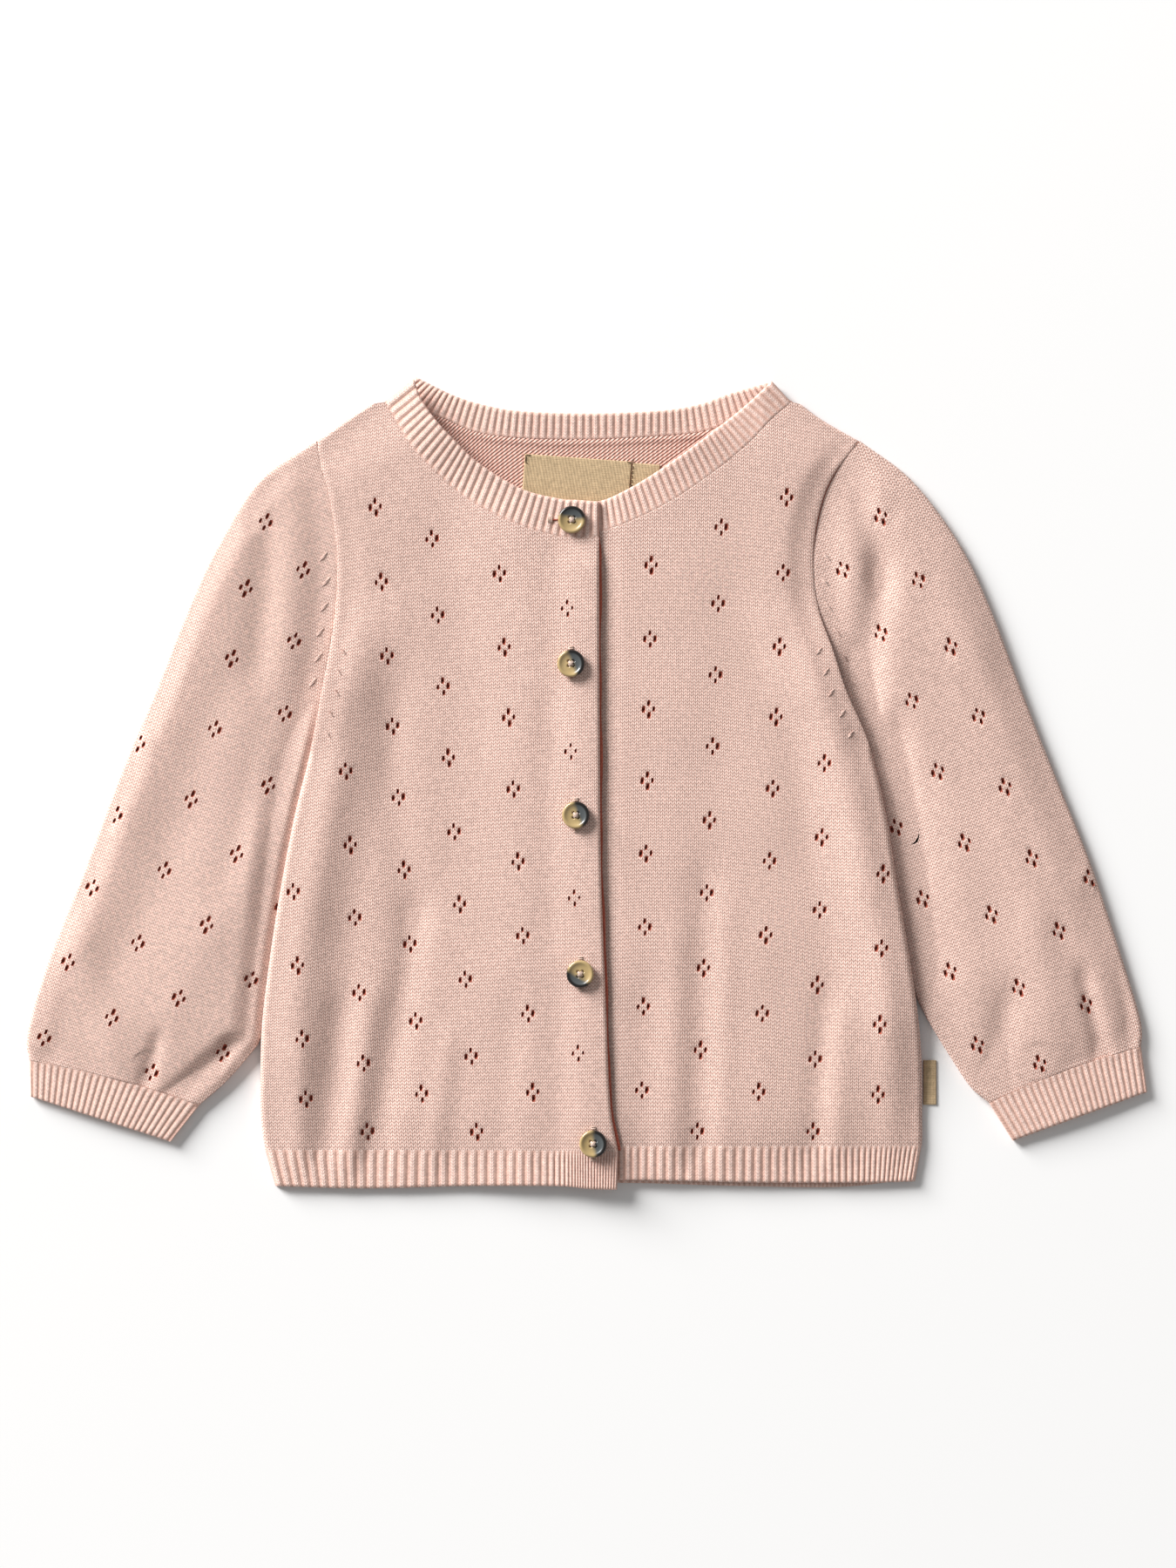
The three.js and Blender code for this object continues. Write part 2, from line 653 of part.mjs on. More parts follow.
function button({ x, y, tilt }, number) {
  const geometry = new THREE.LatheGeometry(BUTTON_PROFILE, BUTTON_FACETS);
  const material = new THREE.MeshStandardMaterial({ color: HORN, roughness: 0.35, metalness: 0 });
  const piece = new THREE.Mesh(geometry, material);
  piece.name = `button_${number}`;
  const angle = degToRad(tilt);
  const foot = HALF_WIDTH * BUTTON_FOOT * Math.sin(angle);
  const onRib = number === 1 || number === BUTTONS.length;
  const cloth = onRib ? RIB_WALL + RIB_RISE : WALL;
  const ground = Math.max(...steps(8).map((t) => {
    const turn = t * 2 * Math.PI;
    const place = [x + HALF_WIDTH * Math.cos(turn), y + HALF_WIDTH * Math.sin(turn)];
    return frontUnder(...place, true) + cloth;
  }));
  piece.rotation.set(Math.PI / 2, 0, 0);
  const tilted = new THREE.Group();
  tilted.add(piece);
  tilted.rotation.y = -angle;
  tilted.position.set(x, y, ground + foot + GAP);
  return tilted;
}

// Small flat woven piece, its corners on the given heights
function patch(name, { x, y, width, height, turn }, base) {
  const [cos, sin] = [Math.cos(degToRad(turn)), Math.sin(degToRad(turn))];
  const grid = [-0.5, 0, 0.5].map((v) => [-0.5, 0, 0.5].map((u) => {
    const px = x + u * width * cos - v * height * sin;
    const py = y + u * width * sin + v * height * cos;
    return { x: px, y: py, under: base, top: base + LABEL_WALL };
  }));
  return slab(name, grid, LINEN);
}

const cardigan = new THREE.Group();
cardigan.add(
  backPanel(),
  front('right_front', RIGHT_FRONT, 'left', true),
  front('left_front', LEFT_FRONT, 'right', false),
  hem('right_hem', RIGHT_HEM, HEM_TOP.right, (x, y) => frontUnder(x, y, true), true),
  hem('left_hem', LEFT_HEM, HEM_TOP.left, (x, y) => frontUnder(x, y, false), true),
  hem('back_hem', BACK_HEM, HEM_TOP.back, () => 0, false),
  neckband('right_neckband', onFront(RIGHT_FRONT, RIGHT_NECKBAND), bandUnder(true)),
  neckband('left_neckband', onFront(LEFT_FRONT, LEFT_NECKBAND), bandUnder(false)),
  neckband('back_neckband', BACK_NECKBAND, backBandUnder),
  sleeve('left_sleeve', 'left', LEFT_SLEEVE),
  sleeve('right_sleeve', 'right', RIGHT_SLEEVE),
  cuff('left_cuff', 'left', LEFT_SLEEVE, LEFT_CUFF_END),
  cuff('right_cuff', 'right', RIGHT_SLEEVE, RIGHT_CUFF_END),
  patch('neck_label', NECK_LABEL, LAYER),
  patch('size_label', SIZE_LABEL, LAYER),
  patch('side_tag', SIDE_TAG, 0),
);
BUTTONS.forEach((row, i) => cardigan.add(button(row, i + 1)));

// The origin is the middle of the cardigan's underside
cardigan.updateMatrixWorld(true);
const box = new THREE.Box3().setFromObject(cardigan, true);
const middle = box.getCenter(new THREE.Vector3());
cardigan.position.set(-middle.x, -middle.y, -box.min.z);

export default cardigan;
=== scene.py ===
"""Baby cardigan of fine pink cotton knit with a pointelle pattern, buttoned and laid flat, front up.

The sizes below are millimetres in the cardigan's own drawing, x to the right, y to the neck and z up.
A fabric place is counted in wales across and courses along the knitting.
"""

import bpy
import numpy as np
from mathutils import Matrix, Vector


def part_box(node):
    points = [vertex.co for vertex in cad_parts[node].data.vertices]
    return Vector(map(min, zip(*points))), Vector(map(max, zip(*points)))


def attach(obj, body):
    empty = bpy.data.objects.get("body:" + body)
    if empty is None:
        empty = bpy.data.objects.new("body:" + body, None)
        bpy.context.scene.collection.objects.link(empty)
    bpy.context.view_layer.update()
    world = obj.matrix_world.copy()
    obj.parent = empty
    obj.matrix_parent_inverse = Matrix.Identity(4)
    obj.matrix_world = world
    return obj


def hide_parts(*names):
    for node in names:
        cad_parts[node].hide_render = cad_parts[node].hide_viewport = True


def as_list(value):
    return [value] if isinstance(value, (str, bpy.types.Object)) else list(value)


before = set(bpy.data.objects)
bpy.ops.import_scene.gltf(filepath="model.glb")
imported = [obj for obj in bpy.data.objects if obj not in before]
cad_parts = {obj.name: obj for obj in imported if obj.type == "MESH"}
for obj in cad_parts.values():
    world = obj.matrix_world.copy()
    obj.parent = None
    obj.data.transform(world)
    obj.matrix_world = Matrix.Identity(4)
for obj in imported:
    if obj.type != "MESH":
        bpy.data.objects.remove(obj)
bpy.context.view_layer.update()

bl_info = {
    "name": "Pointelle baby cardigan",
    "version": (1, 0, 0),
    "blender": (4, 5, 0),
    "location": "3D View > Sidebar > Cardigan",
    "description": "A knitted cardigan laid flat, with ribs, eyelets, labels and horn buttons",
    "category": "Object",
}

MM = 0.001
WALL = 1.4
GAP = 0.3
LAYER = WALL + GAP
RIB_WALL = 1.1
RIB_RISE = 0.6
RIB_CREST = 0.65 * RIB_RISE
CUFF_CREST = 0.5 * RIB_RISE
RIB_STEPS = 6
# How high the cloth stands over the layer below it: the fronts, the sleeves, the cuffs, the back where
# a sleeve is tucked under it, and each front neckband's free edge
FRONT_AIR = 1.7
SLEEVE_AIR = 3.3
CUFF_AIR = 0.9
TUCK_LIFT = 3.5
UPPER_FLARE = 4.2
LOWER_FLARE = 1.2
OVERLAP = 23
UNDERARM_Y = 16.5
SHOULDER = {"tip_x": 112.5, "tip_y": 141.8, "neck_x": 72, "neck_y": 168.5}


def table(columns, rows):
    """Named columns of a table as arrays; a column that a row leaves out is 0 there."""
    names = columns.split()
    filled = [list(row) + [0] * (len(names) - len(row)) for row in rows]
    return {name: np.array([row[k] for row in filled], float) for k, name in enumerate(names)}


# Outline of the body: side, armhole and shoulder on each side, at each height
BODY_EDGE = table("y left right corner", [
    (-169, -129, 134.3), (-151, -134, 137.7), (-138, -135.7, 137.9), (-119, -135.7, 137.8),
    (-98.6, -135, 136.3), (-69, -131.4, 132), (-39.6, -126.7, 127), (-12, -121.3, 122.6),
    (UNDERARM_Y, -114.3, 115.6), (39.6, -110, 105.8), (56, -107, 100.6), (72, -104.8, 95),
    (88, -104, 92.9), (104, -105, 93.6), (120, -107.6, 97.5), (130, -110.4, 102.6),
    (141.8, -112.7, 112, 1), (151, -99.7, 96), (160, -85.6, 84.2),
])

# Sections of each front: the height at its side, and its end at the centre edge or the neck seam
RIGHT_FRONT = table("side x y corner", [
    (-151.3, 12, -151.3), (-134, 9, -134), (-90, 7, -90), (-36, 5, -36), (UNDERARM_Y, 4.5, UNDERARM_Y),
    (60, 4.3, 60), (94, 4.3, 102.2, 1), (99, -7, 101.8), (104, -15, 102.8), (112, -33, 108.7),
    (122, -51.5, 118.6), (132, -65, 130.7), (141.8, -73, 139.3, 1), (150, -80, 150.5), (157, -84.2, 158),
])
LEFT_FRONT = table("side x y corner", [
    (-149.6, 12 - OVERLAP, -149.6), (-134, 9 - OVERLAP, -134), (-90, 7 - OVERLAP, -90),
    (-36, 5 - OVERLAP, -36), (UNDERARM_Y, 4.5 - OVERLAP, UNDERARM_Y), (60, 4.3 - OVERLAP, 60),
    (90, 4.3 - OVERLAP, 103.5, 1), (96, -7, 102.6), (101, 5.4, 104.6), (107, 17.6, 108.8),
    (113, 30, 114.8), (121, 43, 122.8), (130, 56, 132.4), (141.8, 67, 142, 1), (150, 75, 150.6),
    (157, 83.6, 158),
])
FRONT_TOP = 157

# Neckband sections: the front's section whose neck end it starts from, and a point on its free edge
RIGHT_NECKBAND = table("side edge_x edge_y", [
    (94, 4.3, 116.6), (99, -5, 117.3), (104, -12, 117.8), (112, -28, 122), (122, -45.4, 132.5),
    (132, -56, 142.5), (141.8, -62.8, 149.8), (150, -69.2, 159), (157, -72.2, 167.2),
])
LEFT_NECKBAND = table("side edge_x edge_y", [
    (90, 4.3 - OVERLAP, 117.5), (96, -6, 116.4), (101, 4.6, 117), (107, 14.4, 121), (113, 25.2, 127.2),
    (121, 37.4, 135.4), (130, 49, 144), (141.8, 58.4, 151.2), (150, 66.5, 158), (157, 75.6, 166.6),
])
BACK_NECKBAND = table("seam_x seam_y edge_x edge_y", [
    (-83.6, 158.8, -71.3, 168.4), (-61, 151.8, -56.6, 161.2), (-48, 146.2, -45, 157.4),
    (-30, 143.4, -29, 154.4), (0, 142.8, 0, 153.4), (30, 144.2, 30, 154.6), (48, 146.2, 46, 157.4),
    (61, 151, 58, 161.6), (83.2, 158.8, 75.6, 166.6),
])

# Hem sections from left to right: the rib's place at the top and at the bottom
RIGHT_HEM = table("top_x bottom_x bottom", [
    (-134, -129.8, -166.4), (-92, -92, -167.3), (-50, -50, -166.3), (-14, -14, -166.2), (0, 0, -167.3),
    (12.1, 11.6, -167.6),
])
LEFT_HEM = table("top_x bottom_x bottom", [
    (12 - OVERLAP, 12 - OVERLAP, -163.4), (20, 20, -163.9), (70, 70, -164.9), (110, 110, -165),
    (137.7, 135, -164.4),
])
BACK_HEM = table("top_x bottom_x bottom", [
    (-134, -130, -166), (0, 0, -165), (60, 60, -166.3), (105, 105, -166.8), (137.7, 134.8, -163.8),
])
HEM_TOP = {"right": -151.3, "left": -149.6, "back": -150.6}
BACK_NECK = table("x y", [
    (-84, 158.7), (-61, 151.7), (-48, 146.1), (-30, 143.3), (0, 142.7), (30, 144.1), (48, 146.1),
    (61, 150.9), (83.6, 158.7),
])

# Sleeve sections from the armhole to the cuff: a point on the underarm edge and one on the outer edge
LEFT_SLEEVE = table("inner_x inner_y outer_x outer_y", [
    (-114.9, 17, -112.9, 142.2), (-113.8, 2, -136.5, 125.3), (-114.5, -14, -153, 99.4),
    (-117.5, -32, -165.5, 73), (-122, -53, -179, 38.9), (-127.5, -75.6, -193.5, 4.5),
    (-132.5, -94, -210, -38.9), (-136, -106, -221, -66), (-141.5, -113.4, -229.3, -90.7),
    (-150.5, -123.5, -232.6, -106), (-161, -132.7, -231.6, -114.2),
])
RIGHT_SLEEVE = table("inner_x inner_y outer_x outer_y", [
    (116.2, 17, 112.3, 142.2), (114.5, 2, 134.2, 125.3), (116.5, -14, 153.4, 99.4),
    (119.5, -30, 166, 73), (123, -46, 178.9, 38.9), (127, -64, 192.5, 4.5), (132.5, -81, 206.5, -30),
    (139, -95.5, 217, -61), (149.8, -113.4, 226.4, -90.7), (158, -125.5, 228.8, -101.5),
    (165.4, -131.8, 228.5, -108.5),
])
CUFF_END = {
    "left": {"inner": (-173, -148), "outer": (-231.2, -129.2)},
    "right": {"inner": (175.3, -147.6), "outer": (231, -127.4)},
}

# Folds: a soft trough along a line, a ridge where the depth is negative
BODY_FOLDS = [
    (-84, 44, -76, -50, 8, 0.7), (-72, -58, -88, -150, 7, 1.4), (-104, -98, -109, -150, 6, 1.1),
    (48, -45, 45, -148, 8, 1.1), (97, -94, 93, -148, 6, 0.9), (-32, -100, -36, -146, 7, 0.6),
    (-58, -110, -64, -150, 5, -0.6), (-92, -92, -97, -150, 5, -0.5), (70, -70, 68, -150, 9, -0.4),
    (24, -90, 22, -146, 7, 0.5), (116, -60, 117, -140, 7, 0.5), (-60, 96, -44, 20, 11, 0.35),
    (60, 104, 52, 10, 12, 0.35), (-14, 92, -13, 20, 5, 0.3), (-17, 30, -15, -60, 5, 0.3),
    (-12, -88, -12, -140, 6, 0.5), (86, 70, 88, -20, 9, 0.4), (-96, 20, -104, -60, 8, 0.4),
    (-88, -90, -99, -148, 5, -0.4), (56, -60, 55, -148, 6, -0.6),
    (104, -100, 102, -148, 5, -0.6), (-118, -110, -120, -148, 5, -0.5), (37, -70, 35, -148, 6, -0.5),
]
SLEEVE_FOLDS = [
    (-131, 112, -136, 50, 8, 1.8), (-168, -20, -205, -92, 11, 1.2), (-151, -110, -174, -130, 3.6, 1.9),
    (-179, -108, -184, -124, 3.4, 1.2), (-212, -66, -196, -112, 8, -0.8), (205, -82, 212, -112, 3.8, 1.6),
    (172, -96, 168, -126, 6, 1.2), (150, 90, 186, -30, 12, -0.7), (186, -60, 192, -116, 8, -0.7),
    (-150, 40, -176, -16, 9, 0.8), (-140, -30, -170, -90, 9, -0.7), (-133, 28, -150, -40, 7, 0.8),
    (114, 112, 120, 86, 6, 1.9), (120, 84, 114, 40, 7, 2.2), (113, 34, 119, 8, 6, 1.6),
    (128, 18, 137, -72, 6, 1.8), (168, 30, 196, -60, 9, 0.7),
    (150, -20, 160, -96, 9, -0.7), (-214, -80, -222, -110, 5, 0.8), (222, -76, 224, -100, 4, 0.8),
]

# Pointelle: rows of flowers down the front at its middle, half a repeat apart, and the columns with
# their place across at y 0, their first and last row and how many rows apart their flowers are
FLOWER_ROWS = np.array([
    119, 104, 88, 72.5, 57.5, 43, 28.5, 13.5, -1, -17, -31, -47, -61.5, -78, -94, -111, -127, -143.5,
])
FLOWER_COLUMNS = [
    (-7.2, 3, 15, 4), (-31.3, 2, 16, 2), (-57.2, 1, 17, 2), (-79.2, 0, 16, 2), (-100, 7, 17, 2),
    (-124.6, 10, 16, 2), (24.1, 2, 16, 2), (50.4, 1, 17, 2), (76, 0, 16, 2), (96.8, 7, 17, 2),
    (122, 10, 16, 2),
]
COURSES_PER_ROW = 12
# How much a body wale leans outwards for each millimetre up, and how much a course stands above the
# row's place at the middle, at each place across
LEAN = table("x lean", [
    (-135, 0.06), (-124, 0.06), (-100, 0.059), (-79, 0.079), (-57, 0.076), (-31, 0.064), (-7, 0.024),
    (8, 0), (24, -0.018), (51, -0.04), (76, -0.047), (96, -0.03), (123, -0.02), (138, -0.02),
])
RISE = table("x rise", [
    (-136, -15), (-124, -13.3), (-100, -8.2), (-82, -4.8), (-58, -2.8), (-32, -1.1), (-7, 0), (24, 2.4),
    (50, 2.1), (76, -0.8), (97, -5), (121, -6), (138, -8),
])
# Sleeve knitting: unit direction across the wales, where its rows start and how they stretch, the
# flower columns across with their first and last row, and how far the wales are pulled aside
SLEEVE_ACROSS = {"left": (0.952, -0.307), "right": (0.937, 0.35)}
SLEEVE_ROWS = {"left": (-62, 28.3, 0.33), "right": (-61.2, 29.8, 0.2)}
SLEEVE_COLUMNS = {
    "left": [(-182, 2.5, 7.5), (-157.3, 0, 7), (-133.5, 0.5, 7.5), (-108.5, 5, 7)],
    "right": [(112.8, 4, 7), (136.8, 0.5, 7.5), (160.5, 0, 8), (180.5, 3.5, 7.5)],
}
SLEEVE_PULL = {
    "left": table("s pull", [
        (-80, -6), (-39, -6), (-17, 0), (10, 5), (40, 8), (73, 4), (108, 1), (170, -2),
    ]),
    "right": table("s pull", [(-80, -12), (-61, -9), (-39, -5), (-20, -2), (10, 0), (160, 0), (190, -5)]),
}
# The four eyelets of a flower: place across and along the wale, and steps of cells across and along
EYELETS = [(0, 2.5, 0, 2), (-2.1, -0.1, -2, 0), (2.1, 0.1, 2, 0), (0.2, -2.5, 0, -2)]
EYELET_SPACING = (1.15, 1.25)

BUTTONS = table("x y tilt dark_turn dark_from", [
    (-7, 109, 2, 80, 0.22), (-7.3, 49.7, 5, 22, 0.18), (-5.3, -12.8, 5, 20, 0.2),
    (-3.5, -78.3, 5, 238, 0.28), (1.8, -148.3, 4, 8, 0.12),
])
NECK_LABEL = {"x": -5.2, "y": 123.5, "width": 44.3, "height": 23, "turn": -4.2}
SIZE_LABEL = {"x": 23.2, "y": 123, "width": 11.3, "height": 19, "turn": -4.2}
SIDE_TAG = {"x": 141.2, "y": -123.6, "width": 5.4, "height": 18.4, "turn": 0}

TAG_LOW, TAG_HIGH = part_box("side_tag")
SHIFT = (
    (TAG_LOW.x + TAG_HIGH.x) / 2 / MM - SIDE_TAG["x"],
    (TAG_LOW.y + TAG_HIGH.y) / 2 / MM - SIDE_TAG["y"],
)


def linear(code):
    """An sRGB hex colour as linear red, green, blue and alpha."""
    parts = [int(code[k : k + 2], 16) / 255 for k in (0, 2, 4)]
    return tuple(p / 12.92 if p <= 0.04045 else ((p + 0.055) / 1.055) ** 2.4 for p in parts) + (1.0,)


def smooth(x, low, high):
    """Soft step from 0 at low to 1 at high."""
    t = np.clip((x - low) / (high - low), 0, 1)
    return t * t * (3 - 2 * t)


def mix(a, b, t):
    """Straight blend from a at 0 to b at 1."""
    return a + (b - a) * t


def curve(rows, key, column, t):
    """Smooth curve through a table's rows at t in the key column, broken at corner rows."""
    k, c = rows[key], rows[column]
    corner = rows.get("corner", np.zeros(len(k)))
    straight = np.diff(c) / np.diff(k)
    through = (c[2:] - c[:-2]) / (k[2:] - k[:-2])
    tangent = np.concatenate([[straight[0]], through, [straight[-1]]])
    before = np.where(corner[:-1] > 0, straight, tangent[:-1])
    after = np.where(corner[1:] > 0, straight, tangent[1:])
    i = np.clip(np.searchsorted(k, t, side="right") - 1, 0, len(k) - 2)
    span = k[i + 1] - k[i]
    s = (t - k[i]) / span
    swing = s * (1 - s) * span * ((1 - s) * (before[i] - straight[i]) - s * (after[i] - straight[i]))
    return mix(c[i], c[i + 1], s) + swing


def numbered(rows):
    """The same table with a column that counts its rows from 0 to 1."""
    return {**rows, "at": np.linspace(0, 1, len(next(iter(rows.values()))))}


def spread(stops, step):
    """Values that hold all stops, with about the given step between them."""
    parts = [np.linspace(a, b, max(1, round((b - a) / step)) + 1)[1:] for a, b in zip(stops, stops[1:])]
    return np.concatenate([[stops[0]], *parts])


def edge_x(side, y):
    """The body's edge at each height."""
    return curve(BODY_EDGE, "y", side, y)


def inside_side(x, y):
    """How far a place lies inside the body's nearer edge."""
    return np.minimum(x - edge_x("left", y), edge_x("right", y) - x)


def below_shoulder(x, y):
    """How far a place lies below the shoulder line, which is level across the neck."""
    s = SHOULDER
    t = np.clip((s["tip_x"] - np.abs(x)) / (s["tip_x"] - s["neck_x"]), 0, 1)
    return mix(s["tip_y"], s["neck_y"], t) - y


def fold_depth(folds, x, y):
    """Sum of bell-shaped troughs across each fold line, fading out past its ends."""
    depth = np.zeros(np.shape(x))
    for x1, y1, x2, y2, width, deep in folds:
        dx, dy = x2 - x1, y2 - y1
        length = np.hypot(dx, dy)
        along = ((x - x1) * dx + (y - y1) * dy) / length
        across = ((x - x1) * dy - (y - y1) * dx) / length
        past = np.maximum(0, np.maximum(-along, along - length))
        depth += deep * np.exp(-((across / width) ** 2) - (past / (2 * width)) ** 2)
    return depth


def roll(distance, radius, drop):
    """Drop of a rounded edge: a quarter ellipse over the last radius of cloth."""
    t = np.clip(distance / radius, 0, 1)
    return drop * (1 - np.sqrt(1 - (1 - t) ** 2))


def ridge(distance, place, width):
    """Bell of height 1 at that place."""
    return np.exp(-(((distance - place) / width) ** 2))


def handling(x, y):
    """Faint unevenness of cloth that was smoothed by hand, a tenth of a millimetre up and down."""
    drift = np.sin(x / 13 + 1.7 * np.sin(y / 23)) * np.sin(y / 11 + 1.3 * np.sin(x / 19))
    slant = np.sin((x + 0.6 * y) / 6.5 + 2 * np.sin(y / 31)) * np.sin((y - 0.4 * x) / 14)
    return 0.09 * drift + 0.05 * slant


def back_under(x, y, reach=20, past=20):
    """Underside of the back: on the surface, lifted where a sleeve lies tucked below its side. The
    fronts span it with a longer reach inwards and past its ends."""
    out = np.where(x < 0, -107, -92)
    beside = 1 - smooth(inside_side(x, y), 9, reach)
    return TUCK_LIFT * beside * smooth(y, out - past, out) * (1 - smooth(y, 36, 36 + past))


def front_under(x, y, upper):
    """Underside of a front: over the back and the air below it, with one more layer at the overlap."""
    side = inside_side(x, y)
    shoulder = smooth(below_shoulder(x, y), 0, 30)
    hem = mix(0.1, 1, smooth(y, -168, -134))
    rolled = 0.5 * (1 - smooth(side, 0, 8)) * smooth(y, UNDERARM_Y, 56) * shoulder
    armhole = smooth(y, 11, 30) * (1 - smooth(y, 130, 143))
    inwards = smooth((side + 9 * armhole) / (18 + 3 * armhole), 0, 1)
    edge = 1.3 * (1 - smooth(side, 4, 24)) * smooth(y, -112, -70) * (1 - smooth(y, -5, 22)) * (x > 0)
    if upper:
        over = 1.8 * smooth(x, -OVERLAP - 36, -OVERLAP)
        over = over + 1.5 * smooth(x, -22, 2) * (1 - smooth(y, 88, 102))
    else:
        over = 0.9 * smooth(x, 6, 15) * (1 - smooth(x, 30, 70))
    air = FRONT_AIR * inwards * shoulder * hem + rolled + edge
    air = air + mix(0.8, 1.5, smooth(y, -70, 40)) * smooth(x, 10, 85) * smooth(side, 0, 14) * shoulder * hem
    air = air + (handling(x, y) - fold_depth(BODY_FOLDS, x, y)) * smooth(side, 0, 6)
    return back_under(x, y, 36, 46) + LAYER + over + np.maximum(0, air)


def wrapped(y):
    """1 where the body's edge is a side or shoulder seam, 0 along the armhole."""
    return 1 - smooth(y, 11, 16) * (1 - smooth(y, 139, 143))


def row_fade(y):
    """How much of the courses' rise is left at each height: none at the hem."""
    return smooth(y, -150, -75)


def body_fabric(x, y):
    """Wale and course of a body place: wales lean outwards, and courses arch and sink to the sides."""
    sizes = bpy.context.scene.cardigan_sizes
    across = x + 0.0
    for _ in range(6):
        across = x + np.interp(across, LEAN["x"], LEAN["lean"]) * y
    level = y - np.interp(x, RISE["x"], RISE["rise"]) * row_fade(y)
    ends = FLOWER_ROWS[-1] - 16.5 * np.arange(3, 0, -1), FLOWER_ROWS[0] + 15 * np.arange(1, 6)
    heights = np.concatenate([ends[0], FLOWER_ROWS[::-1], ends[1]])
    rows = np.interp(level, heights, np.arange(len(heights)))
    return np.stack([across / sizes.wale, rows * COURSES_PER_ROW], -1)


def body_flowers():
    """Centres of the body's flowers and the upward direction of each one's wale."""
    places = []
    for x, first, last, step in FLOWER_COLUMNS:
        lean = np.interp(x, LEAN["x"], LEAN["lean"])
        for row in FLOWER_ROWS[first : last + 1 : step]:
            y = row + np.interp(x, RISE["x"], RISE["rise"]) * row_fade(row)
            places.append((x - lean * y, y, -lean, 1, 0.72 if step == 4 else 1))
    return np.array(places)


def pierce(plan, flowers, clear):
    """Opens the eyelets of each flower in a grid of places, clear of its edges by the given distances.
    Near a flower the grid is turned and stretched so that a few whole cells fill the spacing of its
    eyelets. Each eyelet is a block of cells whose rim is drawn to an oval. Returns the cells that stay
    and how far each place of the other face stands in, so that an eyelet narrows downwards."""
    sizes = bpy.context.scene.cardigan_sizes
    keep = np.ones((plan.shape[0] - 1, plan.shape[1] - 1), bool)
    start, tuck = plan.copy(), np.zeros_like(plan)
    for x, y, lean_x, lean_y, size in flowers:
        flower = np.array([x, y])
        up = np.array([lean_x, lean_y]) / np.hypot(lean_x, lean_y)
        right = np.array([up[1], -up[0]])
        away = np.hypot(*(start - flower).transpose(2, 0, 1))
        i, j = np.unravel_index(away.argmin(), away.shape)
        if away[i, j] > 2 or not (1 <= i < plan.shape[0] - 1 and 1 <= j < plan.shape[1] - 1):
            continue
        steps = np.stack([start[i, j + 1] - start[i, j - 1], start[i + 1, j] - start[i - 1, j]], -1) / 2
        turns = np.sign([steps[:, 0] @ right, steps[:, 1] @ up])
        cells = [max(1, round(space / np.hypot(*steps[:, k]))) for k, space in enumerate(EYELET_SPACING)]
        origin = start[i, j] + steps[:, 0] * (cells[0] % 2) / 2
        counted = (start - origin) @ np.linalg.inv(steps).T
        drawn = [counted[..., k] * turns[k] * EYELET_SPACING[k] / cells[k] for k in (0, 1)]
        wanted = flower + drawn[0][..., None] * right + drawn[1][..., None] * up
        near = (1 - smooth(away, 5, 10)) * smooth(clear, 0.2, 3)
        plan += near[..., None] * (wanted - start)
        for across, along, columns, rows in EYELETS:
            c = j + round((cells[0] % 2) / 2 + (columns * turns[0] - 0.5) * cells[0])
            r = i + round((rows * turns[1] - 1) * cells[1])
            c_end, r_end = c + cells[0], r + 2 * cells[1]
            if min(c, r) < 1 or c_end > plan.shape[1] - 2 or r_end > plan.shape[0] - 2:
                continue
            if clear[r : r_end + 1, c : c_end + 1].min() < 1.2:
                continue
            keep[r:r_end, c:c_end] = False
            a, b = np.meshgrid(np.linspace(-1, 1, r_end - r + 1), np.linspace(-1, 1, c_end - c + 1),
                               indexing="ij")
            open_by = size * (0.95 + 0.17 * np.sin(1.7 * x + 2.3 * y + 5 * across))
            over = b * np.sqrt(1 - a * a / 2) * turns[0] * open_by * sizes.eyelet_width / 2
            beyond = a * np.sqrt(1 - b * b / 2) * turns[1] * open_by * sizes.eyelet_length / 2
            rim = (np.abs(a) == 1) | (np.abs(b) == 1)
            aside = (across + over + 0.08 * beyond)[..., None]
            hole = flower + aside * right + (along + beyond)[..., None] * up
            block = plan[r : r_end + 1, c : c_end + 1]
            block[rim] = hole[rim]
            centre = flower + across * right + along * up
            # The narrowing lets the eyelet's walls, with their painted deep shade, show from above.
            tuck[r : r_end + 1, c : c_end + 1][rim] = (centre - hole[rim]) * 0.8
    return keep, tuck


def make_mesh(name, places, quads, fabric, materials, finish=None):
    """A mesh of quads with their fabric places as UV map, its faces turned to point outwards."""
    corner = places[quads]
    a, b, c, d = (corner[:, k] for k in range(4))
    volume = np.einsum("ij,ij->", a, np.cross(b, c)) + np.einsum("ij,ij->", a, np.cross(c, d))
    if volume < 0:
        quads, fabric = quads[:, ::-1], fabric[:, ::-1]
    mesh = bpy.data.meshes.new(name)
    mesh.vertices.add(len(places))
    metres = (places + np.array([SHIFT[0], SHIFT[1], 0])) * MM
    mesh.vertices.foreach_set("co", metres.astype(np.float32).ravel())
    mesh.loops.add(quads.size)
    mesh.loops.foreach_set("vertex_index", quads.astype(np.int32).ravel())
    mesh.polygons.add(len(quads))
    mesh.polygons.foreach_set("loop_start", np.arange(0, quads.size, 4, dtype=np.int32))
    if finish is not None:
        mesh.polygons.foreach_set("material_index", finish.astype(np.int32))
    mesh.update(calc_edges=True)
    mesh.uv_layers.new(name="fabric").data.foreach_set("uv", fabric.astype(np.float32).ravel())
    mesh.shade_smooth()
    mesh.set_sharp_from_angle(angle=np.radians(55))
    for material in materials:
        mesh.materials.append(material)
    piece = bpy.data.objects.new(name, mesh)
    bpy.context.scene.collection.objects.link(piece)
    return piece


